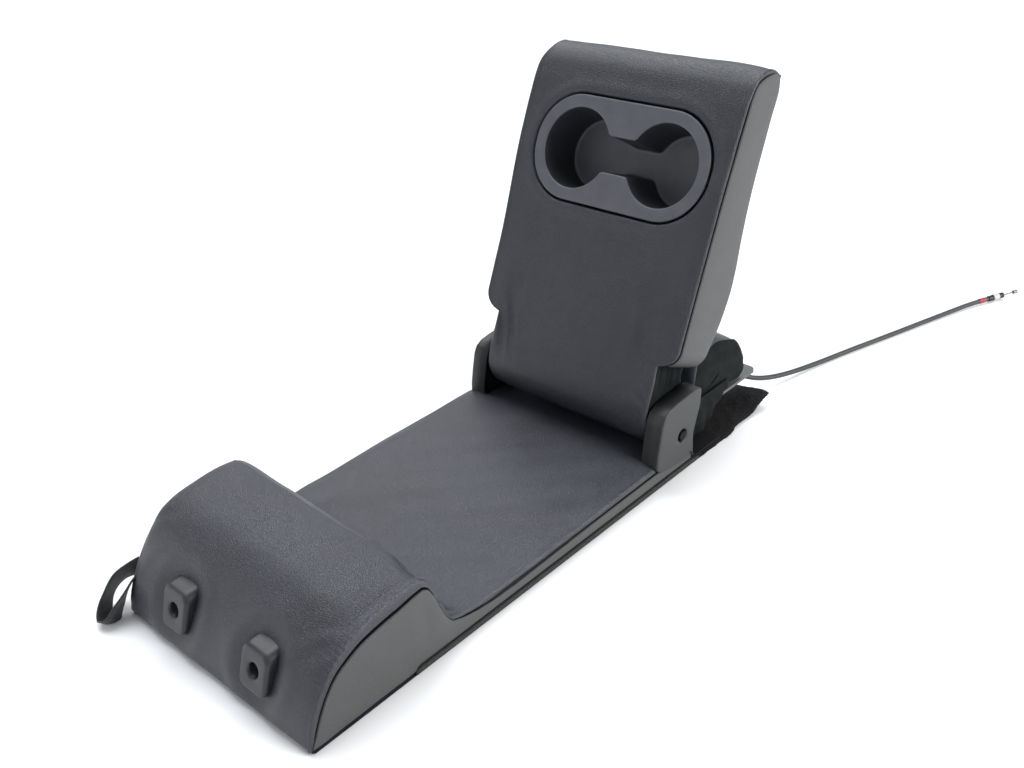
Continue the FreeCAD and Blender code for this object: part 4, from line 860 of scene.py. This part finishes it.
def branches(start_rise, count, side):
    """One side's seam: its front and back runs from start_rise up to the tip, as matched points."""
    seam = ARM_SEAM if side > 0 else ARM_SEAM_LEFT
    tip = int(np.argmax(seam[:, 1]))
    front, back = seam[: tip + 1], seam[tip:][::-1]
    front = front[(front[:, 1] >= start_rise) & (front[:, 0] < 0)]
    back = back[(back[:, 1] >= start_rise) & (back[:, 0] > -12)]
    return even(front, count), even(back, count)


def armrest_side(side, word):
    """A panel between the seam's front and back runs, bowed out and drawn in below the shoulder."""
    front, back = branches(PANEL_START, 130, side)
    length = np.linalg.norm(back - front, axis=1)
    w = edge_spaced(length, 34, both=True)
    yz = front[:, None, :] + (back - front)[:, None, :] * w[..., None]
    wide = np.minimum(length / 30, 1)[:, None]
    x = arm_half(yz[..., 1], side) + 0.3 + 2.0 * wide * (1 - np.abs(2 * w - 1) ** 3) ** 0.7
    across = np.minimum(w, 1 - w) * length[:, None]
    x = x - 2.0 * (1 - ramp(across, 0.4, 2.0))
    grid = np.concatenate([x[:, :, None] * side, yz], axis=2)
    uneven = 0.6 * ripple(grid, 80, 41) + 0.2 * ripple(grid, 26, 42)
    grid[..., 0] += side * wide * uneven * w * (1 - w) * 4
    made = grid_piece("armrest_panel_" + word, to_world(grid), SIDE_LEATHER, "armrest",
                      to_world(ARM_CORE), ["armrest_side_" + word], wall=LEATHER_WALL)
    # Painted shade: the faces next to the seam, in its groove, get the near-black crease finish
    paint_some(made, PAINTED_CREASE_SHADE, face_means(across) < 1.25)


def depths_at(rises, rows):
    """The depth of a seam's rows at the given rises."""
    depth, rise = rows[np.argsort(rows[:, 1])].T
    return np.interp(rises, rise, depth)


def neck_cloth(side, word):
    """Thin gathered cloth from under the side panel's foot down the neck, with folds that run down it."""
    rises = np.linspace(*NECK_CLOTH_ENDS, 70)
    rows_up, rows_down = ARM_SEAM[: TIP + 1], ARM_SEAM[TIP:]
    front = depths_at(rises, rows_up[rows_up[:, 0] < -5])
    back = depths_at(rises, rows_down[rows_down[:, 0] > 8])
    w = np.linspace(0, 1, 60)
    depth = front[:, None] + (back - front)[:, None] * w[None, :]
    rise = np.broadcast_to(rises[:, None], depth.shape)
    x = arm_half(rise, side) - 0.4 - 1.2 * ramp(rise, 40, 48)
    gather = wave(depth, 11, 0.06 * rise) + 0.6 * wave(depth, 6.3, 0.15 * rise + 1)
    x = x + 1.0 * gather * ramp(rise, 8, 30) * (1 - ramp(rise, 44, 52)) * (w * (1 - w) * 4)[None, :]
    grid = np.stack([x * side, depth, rise], axis=2)
    made = grid_piece("neck_gather_" + word, to_world(grid), BACKING_CLOTH, "armrest",
                      to_world(NECK_CORE), ["neck_cloth_" + word], wall=CLOTH_WALL)


armrest_leather()
for side, word in SIDES:
    armrest_side(side, word)
    neck_cloth(side, word)


# Cup holder: a rim with two tongues round two cups that a channel joins
CUP_RADIUS = 40.0
CUP_HALF_PITCH = 52.0
CHANNEL_HALF = 17.5
CUP_DEPTH = 46.5
CUP_DRAFT = 3.6
CUP_WALL = 1.5
CUP_POINTS = 400
RIM_TOP = -37.6
ARM_FRONT = -36.6
# Rings as (inset, depth): over the rim's outer edge, over the edge of the opening, and round on to the floor
RIM_EDGE = (
    (0.6, ARM_FRONT + 10), (0.1, ARM_FRONT + 0.6), (0, RIM_TOP + 1.5), (0.35, RIM_TOP + 0.7),
    (1.1, RIM_TOP + 0.2), (2.2, RIM_TOP),
)
OPENING_EDGE = ((-2.0, RIM_TOP + 0.15), (-1.0, RIM_TOP + 0.4), (-0.3, RIM_TOP + 1.0), (0, RIM_TOP + 2.0))
CUP_FLOOR = RIM_TOP + 2.4 + CUP_DEPTH
FLOOR_EDGE = ((3.9, CUP_FLOOR - 1.6), (4.6, CUP_FLOOR - 0.6), (5.8, CUP_FLOOR - 0.1), (7.0, CUP_FLOOR))
RIM_RINGS = 6
SHADED_RINGS = (11, 15)


def cup_opening(count):
    """Two arcs of the cups joined by the channel's straight sides, with the tongues' corners softened."""
    reach = math.asin(CHANNEL_HALF / CUP_RADIUS)
    arc = np.linspace(0, math.pi - reach, 200)
    upper = np.stack([CUP_HALF_PITCH + CUP_RADIUS * np.cos(arc), CUP_RADIUS * np.sin(arc)], axis=1)
    quarter = np.vstack([upper, [[0, CHANNEL_HALF]]])
    half = np.vstack([quarter, (quarter * (-1, 1))[::-1][1:]])
    loop = np.vstack([half, (half * (1, -1))[::-1][1:-1]])
    return softened(closed_even(loop, count), 6)


def cup_rings():
    """Rings from under the leather over the rim, down the drafted walls and round on to the floor."""
    outer = rounded_rectangle(*BEZEL_HALF, BEZEL_ROUND, CUP_POINTS)
    opening = cup_opening(CUP_POINTS)
    rings = [(outline_inset(outer, inset), depth) for inset, depth in RIM_EDGE]
    for share in (0.35, 0.7):
        loop = outline_inset(outer, 2.2) * (1 - share) + outline_inset(opening, -2.0) * share
        rings.append((loop, RIM_TOP + 0.1 * share))
    rings += [(outline_inset(opening, inset), depth) for inset, depth in OPENING_EDGE]
    for share in (0.25, 0.5, 0.75, 0.93):
        rings.append((outline_inset(opening, CUP_DRAFT * share), RIM_TOP + 2 + (CUP_DEPTH - 3) * share))
    rings += [(outline_inset(opening, inset), depth) for inset, depth in FLOOR_EDGE]
    return np.array([np.stack([loop[:, 0], np.full(CUP_POINTS, depth), loop[:, 1] + CUP_RISE], axis=1)
                     for loop, depth in rings])


def cup_holder():
    """The rings' walls, and a floor that is ruled between the two halves of the last ring."""
    grid = cup_rings()
    walls = grid_quads(len(grid), CUP_POINTS, wrap=True)
    last = grid[-1]
    middle = CUP_POINTS // 2
    upper = last[: middle + 1]
    lower = np.vstack([last[:1], last[middle:][::-1]])
    share = np.linspace(0, 1, 15)[1:-1]
    inner = upper[:, None, :] + (lower - upper)[:, None, :] * share[None, :, None]
    base = (len(grid) - 1) * CUP_POINTS
    upper_ids = base + np.arange(middle + 1)
    lower_ids = base + np.concatenate([[0], np.arange(middle, CUP_POINTS)[::-1]])
    inner_ids = len(grid) * CUP_POINTS + np.arange(inner.shape[0] * inner.shape[1]).reshape(inner.shape[:2])
    floor = table_quads(np.concatenate([upper_ids[:, None], inner_ids, lower_ids[:, None]], axis=1))
    floor = floor[[len(set(quad)) == 4 for quad in floor.tolist()]]
    points = np.vstack([grid.reshape(-1, 3), inner.reshape(-1, 3)])
    if face_normals(points, floor)[:, 1].sum() > 0:
        floor = floor[:, ::-1]
    rim = walls[CUP_POINTS * RIM_RINGS: CUP_POINTS * (RIM_RINGS + 1)]
    if face_normals(points, rim)[:, 1].sum() > 0:
        walls = walls[:, ::-1]
    made = piece("cup_insert", to_world(points), np.vstack([walls, floor]), CUP_PLASTIC,
                 "armrest", ["cup_holder"], wall=CUP_WALL)
    ring_at = np.arange(len(walls)) // CUP_POINTS
    shaded = (ring_at >= SHADED_RINGS[0]) & (ring_at <= SHADED_RINGS[1])
    paint_some(made, CUP_SHADE, np.concatenate([shaded, np.zeros(len(floor), bool)]))


cup_holder()


# Hinge covers: moulded caps over the hinge brackets, each with a screw well
COVER_OUTLINE = [
    (183.5, 24), (185, 38), (188.5, 54), (192.5, 70), (196.5, 77.5), (205, 82), (219, 84), (238, 85),
    (252, 86), (257, 82.5), (255, 66), (249, 51), (244, 38), (244, 24), (244, 12), (228, 13), (206, 15),
    (190, 18),
]
COVER_IN, COVER_OUT = 106.0, 125.0
COVER_WALL = 2.0
COVER_POINTS = 240
SCREW_PLACE = np.array([225.0, 44.0])
WELL_RADIUS = 8.6
# Rings as (inset, distance under the face) over the brow, and as (radius, distance) down the well
COVER_BROW = ((0, COVER_OUT - COVER_IN), (0, 4), (0, 1.9), (0.25, 1.0), (0.8, 0.35), (1.6, 0.05), (2.2, 0))
COVER_WELL = ((WELL_RADIUS, 0), (7.6, 0.3), (7.0, 1.2), (6.4, 5.5))


def hinge_cover(side, word):
    """Rings from the inner edge out over a rounded brow, across the flat face and into the screw well."""
    loop = softened(closed_even(np.array(COVER_OUTLINE, float)[::-1], COVER_POINTS), 6)
    angle = np.unwrap(np.arctan2(loop[:, 1] - SCREW_PLACE[1], loop[:, 0] - SCREW_PLACE[0]))
    if angle[-1] < angle[0]:
        loop, angle = loop[::-1], angle[::-1]
    way = np.stack([np.cos(angle), np.sin(angle)], axis=1)
    rings = [(outline_inset(loop, inset), COVER_OUT - under) for inset, under in COVER_BROW]
    brow = rings[-1][0]
    for share in (0.1, 0.25, 0.45, 0.65, 0.85):
        rings.append((brow * (1 - share) + (SCREW_PLACE + way * WELL_RADIUS) * share, COVER_OUT))
    rings += [(SCREW_PLACE + way * radius, COVER_OUT - under) for radius, under in COVER_WELL]
    grid = np.array([np.column_stack([np.full(COVER_POINTS, x * side), ring]) for ring, x in rings])
    grid_piece("hinge_cap_" + word, grid, HINGE_PLASTIC, "seatback", (90 * side, 222, 45),
               ["hinge_cover_" + word], wrap=True, wall=COVER_WALL)


for side, word in SIDES:
    hinge_cover(side, word)


# Lower end: a padded lobe, leather above and cloth at the sides, on the stiff flap
LOBE_LOOP = [
    (340, 42.6), (300, 42.4), (272, 42.6), (265.4, 46), (264.4, 62), (265.4, 84), (270, 97.5), (282, 107),
    (297, 112), (312, 112), (328, 107), (343, 97), (355, 82), (363.5, 62), (364, 50.5), (357, 43.8),
    (340, 42.6),
]
LOBE_HALF = box_mm("lower_side_right")[1][0]
LOBE_SEAM_HALF = LOBE_HALF - 1.5
LOBE_WALL = 1.4
LOBE_MIDDLE = np.array([312.0, 70.0])
SKIRT_START, SKIRT_LONG = 266.0, 60.0
SKIRT_TOP, SKIRT_DROP = 57.0, 45.0


def lower_lobe():
    """The leather over the lobe, crowned between its two side seams."""
    middle = drawn(LOBE_LOOP, 200)
    seam = line_inset(middle, 7 - 4 * ramp(middle[:, 0], 325, 350))
    grid = crowned((seam, seam), middle, LOBE_SEAM_HALF, 90, (5, 5), 0.55)
    normal = grid_normals(grid)
    if normal[100, 45, 2] < 0:
        normal = -normal
    lift = (0.9 * ripple(grid, 70, 51) + 0.35 * ripple(grid, 30, 52) - 0.6) * ramp(grid[..., 2], 43, 60)
    grid = grid + normal * lift[..., None]
    made = grid_piece("lower_leather", grid, FACE_LEATHER, "seatback", (0, 312, 72),
                      ["lower_cover", "lower_foam"], wall=LOBE_WALL)
    for side, word in SIDES:
        lobe_side(seam[:-1], side, word)


def lobe_side(loop, side, word):
    """Cloth that fills the seam's loop at one end: rings drawn in to its middle, bowed and slackly folded."""
    share = np.linspace(0, 1, 26)
    yz = loop[None, :, :] + (LOBE_MIDDLE - loop)[None, :, :] * share[:, None, None]
    x = LOBE_SEAM_HALF + 2.2 * (1 - (1 - share) ** 4)
    grid = np.concatenate([np.broadcast_to(x[:, None, None], (*yz.shape[:2], 1)) * side, yz], axis=2)
    slack = wave(grid[..., 2], 17, grid[..., 1] * 0.05) * ramp(share, 0.02, 0.25)[:, None]
    grid[..., 0] += side * 0.8 * slack * (1 - share)[:, None]
    made = grid_piece("lower_side_cloth_" + word, grid, BACKING_CLOTH, "seatback", (0, *LOBE_MIDDLE),
                      ["lower_side_" + word], wrap=True, wall=CLOTH_WALL)
    weld(made)


def skirt_cloth(side, word):
    """A strip of backing cloth that hangs from the lobe's side over the flap's edge, shorter to the rear."""
    u = np.linspace(0, 1, 40)
    v = np.linspace(0, 1, 36)[:, None]
    foot = SKIRT_TOP - SKIRT_DROP * (1 - 0.62 * ramp(u, 0.35, 1))
    z = SKIRT_TOP + (foot - SKIRT_TOP) * v
    y = np.broadcast_to(SKIRT_START + SKIRT_LONG * u, z.shape)
    over_flap = 0.8 * bump_at(z, 41, 8)
    x = LOBE_HALF + 2.4 + over_flap - 4.0 * ramp(v, 0.55, 1) + 1.2 * wave(y, 19, z * 0.11) * v
    grid = np.stack([x * side, y, z], axis=2)
    made = grid_piece("skirt_cloth_" + word, grid, BACKING_CLOTH, "seatback", (0, 290, 25),
                      ["lower_skirt_" + word], wall=CLOTH_WALL)


lower_lobe()
for side, word in SIDES:
    skirt_cloth(side, word)


# Felt on the back face, which runs on past the step as a loose tail
felt_low, felt_high = box_mm("carpet_back")
FELT_START, FELT_STEP, FELT_END = felt_low[1], 258.0, felt_high[1]
FELT_HALF = felt_high[0]
FELT_THICK, TAIL_THICK = 6.0, 3.0
HEM_LIFT = 2.6


def back_felt():
    """A slab: a flat loop carried along the back, thinner in the tail, with one corner turned up."""
    before, after = np.linspace(FELT_START, FELT_STEP, 60), np.linspace(FELT_STEP, FELT_END, 56)
    rows = np.concatenate([before, after[1:]])
    side_x = across_positions(110)
    thick = FELT_THICK - (FELT_THICK - TAIL_THICK) * ramp(rows, FELT_STEP - 4, FELT_STEP + 8)
    rng = np.random.default_rng(77)
    ragged = rng.normal(size=(len(rows), 2)).cumsum(axis=0)
    ragged = 0.5 * (ragged - np.linspace(0, 1, len(rows))[:, None] * ragged[-1])
    ragged = np.clip(ragged, -1.6, 1.6) * ramp(rows, FELT_STEP, FELT_STEP + 30)[:, None]
    frayed = np.where(side_x[None, :] > 0, ragged[:, :1], ragged[:, 1:]) * np.abs(side_x) ** 6
    x = FELT_HALF * side_x[None, :] + frayed
    corner = ramp(x, 55, 125) * ramp(rows[:, None], 345, FELT_END)
    y = rows[:, None] - 9 * corner
    curl = 14 * corner + 4 * ramp(-x, 60, 125) * ramp(y, 360, 400)
    swell = 1.6 * (1 + np.sin(y * 0.055 + x * 0.02)) * ramp(y, 285, 340)
    swell = swell * (0.3 + 0.7 * np.abs(side_x[None, :]))
    under = np.where(y < FELT_STEP, 0.0, curl + swell)
    edge = (1 - np.abs(side_x) ** 30)[None, :]
    flat = np.stack([x, y, 0 * x], axis=2)
    nap = 0.35 * ripple(flat, 9, 61) + 0.2 * ripple(flat, 5, 62)
    hem = HEM_LIFT * ramp(np.abs(x), FELT_HALF - 3, FELT_HALF - 1) * (1 - ramp(y, FELT_STEP - 14, FELT_STEP))
    top = under + thick[:, None] * (0.25 + 0.75 * edge)
    top = top + nap * ramp(y, FELT_STEP - 4, FELT_STEP + 4) * edge + hem
    low = under + thick[:, None] * 0.1 * (1 - edge)
    upper = np.stack([x, y, top], axis=2)
    lower = np.stack([x, y, low], axis=2)[:, ::-1]
    ring = np.concatenate([upper, lower], axis=1)
    ring = np.concatenate([ring[:1], ring, ring[-1:]], axis=0)
    ring[-1, :, 2] = (ring[-2, :, 2] + ring[-2, ::-1, 2]) / 2
    ring[0, :, 2] = (ring[1, :, 2] + ring[1, ::-1, 2]) / 2
    made = grid_piece("back_felt", ring, BLACK_FELT, "seatback", (0, 130, 2), ["carpet_back"],
                      wrap=True)
    hem_faces = [abs(face.center.x) > (FELT_HALF - 1.6) * MM and face.center.y < FELT_STEP * MM
                 for face in made.data.polygons]
    paint_some(made, FELT_EDGE, hem_faces)
    weld(made)


back_felt()


# Pull strap: webbing folded into a loop, with a twist in its near leg
STRAP_ROOT = np.array([-126.6, -216.0, 40.0])
STRAP_REACH, STRAP_LOOP = 60.0, 26.0
STRAP_WAY = np.array([-0.46, -0.77, -0.42])
STRAP_WIDTH_WAY = np.array([0.14, -0.47, 0.87])
STRAP_HANG = np.array([20.0, 2.0, -15.0])
STRAP_HALF, STRAP_HALF_THICK = 10.0, 0.8
# The loop from above, as shares of the reach along the strap and of half the loop's width aside
STRAP_OUT = [(0.2, 0.28), (0.5, 0.8), (0.78, 0.95), (0.96, 0.5)]
STRAP_HOME = [(1.0, -0.1), (0.9, -0.7), (0.62, -0.85), (0.3, -0.45)]
STRAP_ROOT_GAP = 0.9


def strap_line():
    """The strap's middle line: a teardrop out from the root and home again, which sinks as it goes out."""
    way = STRAP_WAY / np.linalg.norm(STRAP_WAY)
    width = STRAP_WIDTH_WAY - way * (STRAP_WIDTH_WAY @ way)
    width /= np.linalg.norm(width)
    aside = np.cross(way, width)
    loop = [(along, share * STRAP_LOOP / 2) for along, share in STRAP_OUT + STRAP_HOME]
    plan = [(0, STRAP_ROOT_GAP), *loop, (0, -STRAP_ROOT_GAP)]
    route = [STRAP_ROOT + way * (along * STRAP_REACH) + aside * off + STRAP_HANG * along ** 2
             for along, off in plan]
    return drawn(route, 120), width


def strap_section():
    """The band's section as (across, out) points: two ribbed faces and two narrow edges."""
    rib = np.linspace(-9.6, 9.6, 15)
    face = np.column_stack([rib, np.full(len(rib), STRAP_HALF_THICK)])
    edge = np.array([(STRAP_HALF, 0.5), (STRAP_HALF, -0.5)])
    return np.vstack([face, edge, -face, -edge])


def pull_strap():
    """A flat band carried along a teardrop line, turned about the line as it goes."""
    line, width = strap_line()
    tangent = np.gradient(line, axis=0)
    tangent /= np.linalg.norm(tangent, axis=1, keepdims=True)
    at = np.linspace(0, 1, len(line))
    flat = width[None, :] - tangent * (tangent @ width)[:, None]
    flat /= np.linalg.norm(flat, axis=1, keepdims=True)
    face = np.cross(tangent, flat)
    near_twist = 30 * ramp(at, 0.0, 0.3) * (1 - ramp(at, 0.3, 0.5))
    turn = np.radians(8 + 34 * ramp(at, 0.55, 0.85) - near_twist)[:, None]
    across = flat * np.cos(turn) + face * np.sin(turn)
    out = np.cross(tangent, across)
    section = strap_section()
    grid = line[:, None, :] + across[:, None, :] * section[None, :, :1]
    grid = grid + out[:, None, :] * section[None, :, 1:]
    grid[..., 2] = np.maximum(grid[..., 2], 0.6)
    run = np.concatenate([[0], np.cumsum(np.linalg.norm(np.diff(line, axis=0), axis=1))])
    uv = np.stack(np.broadcast_arrays(run[:, None], section[None, :, 0]), axis=2)
    quads = grid_quads(*grid.shape[:2], wrap=True)
    points = grid.reshape(-1, 3)
    middle_of_face = np.repeat(line, len(section), axis=0)[quads].mean(axis=1)
    quads = outward(points, quads, middle_of_face)
    piece("strap_webbing", points, quads, BLACK_WEBBING, "seatback", ["pull_strap"],
          uv=uv.reshape(-1, 2))


pull_strap()


# Finishes of the nodes that keep their own shape
SINGLE_FINISHES = {
    "back_pan": BLACK_PAINT,
    "headrest_beam": BLACK_PAINT,
    "pivot_tube": BLACK_PAINT,
    "armrest_frame": BLACK_PAINT,
    "cover_screws": BLACK_PAINT,
    "release_wire": DULL_STEEL,
    "tail_flap": FLAP_PLASTIC,
    "cable_gland": BLACK_PLASTIC_AND_HOLE_SHADE,
    "cable_ferrule": BLACK_PLASTIC_AND_HOLE_SHADE,
    "ferrule_collar": WHITE_PLASTIC,
    "cable_mark": RED_BAND,
}
PAIRED_FINISHES = {
    "headrest_tube": BLACK_PAINT,
    "hinge_bracket": BLACK_PAINT,
    "lower_stay": BLACK_PAINT,
    "pivot_bolt": ZINC,
    "stop_pin": ZINC,
    "pivot_bush": ACETAL,
}


def finish_node(name, material):
    """A node's only material slot holds its finish."""
    slots = frame["nodes"][name].data.materials
    slots.clear()
    slots.append(material)


for name, material in SINGLE_FINISHES.items():
    finish_node(name, material)
for stem, material in PAIRED_FINISHES.items():
    for _, word in SIDES:
        finish_node(stem + "_" + word, material)


# Floor and light
FLOOR_REACH = 6000.0
LIT_PLACE = Vector((0, 0.1, 0.12))
LAMPS = (
    ("sky", "SUN", (-1.0, 0.9, 2.3), 2.85, {"angle": math.radians(55), "color": (0.94, 0.97, 1.0)}),
    ("side_lamp", "AREA", (2.2, 0.9, 1.1), 62, {"size": 1.2}),
    ("front_lamp", "AREA", (-0.75, -0.95, 0.3), 1.9, {"size": 0.7}),
)


def make_floor():
    """A pale flat floor."""
    corners = FLOOR_REACH * np.array([(-1, -1, 0), (1, -1, 0), (1, 1, 0), (-1, 1, 0)])
    mesh = bpy.data.meshes.new("floor")
    mesh.from_pydata((corners * MM).tolist(), [], [(0, 1, 2, 3)])
    mesh.materials.append(new_material("pale_floor", (0.94, 0.94, 0.94), 0.7))
    floor = bpy.data.objects.new("floor", mesh)
    bpy.context.scene.collection.objects.link(floor)


def make_light():
    """An even bright surround and three large soft lamps that face the object."""
    world = bpy.data.worlds.new("surround")
    world.use_nodes = True
    surround = world.node_tree.nodes["Background"].inputs
    surround["Color"].default_value = (0.93, 0.96, 1.0, 1)
    surround["Strength"].default_value = 0.5
    bpy.context.scene.world = world
    for name, kind, place, power, shape in LAMPS:
        light = bpy.data.lights.new(name, kind)
        light.energy = power
        for attribute, value in shape.items():
            setattr(light, attribute, value)
        lamp = bpy.data.objects.new(name, light)
        lamp.location = place
        lamp.rotation_euler = (LIT_PLACE - Vector(place)).to_track_quat("-Z", "Y").to_euler()
        bpy.context.scene.collection.objects.link(lamp)
    bpy.context.scene.view_settings.view_transform = "Standard"


make_floor()
make_light()
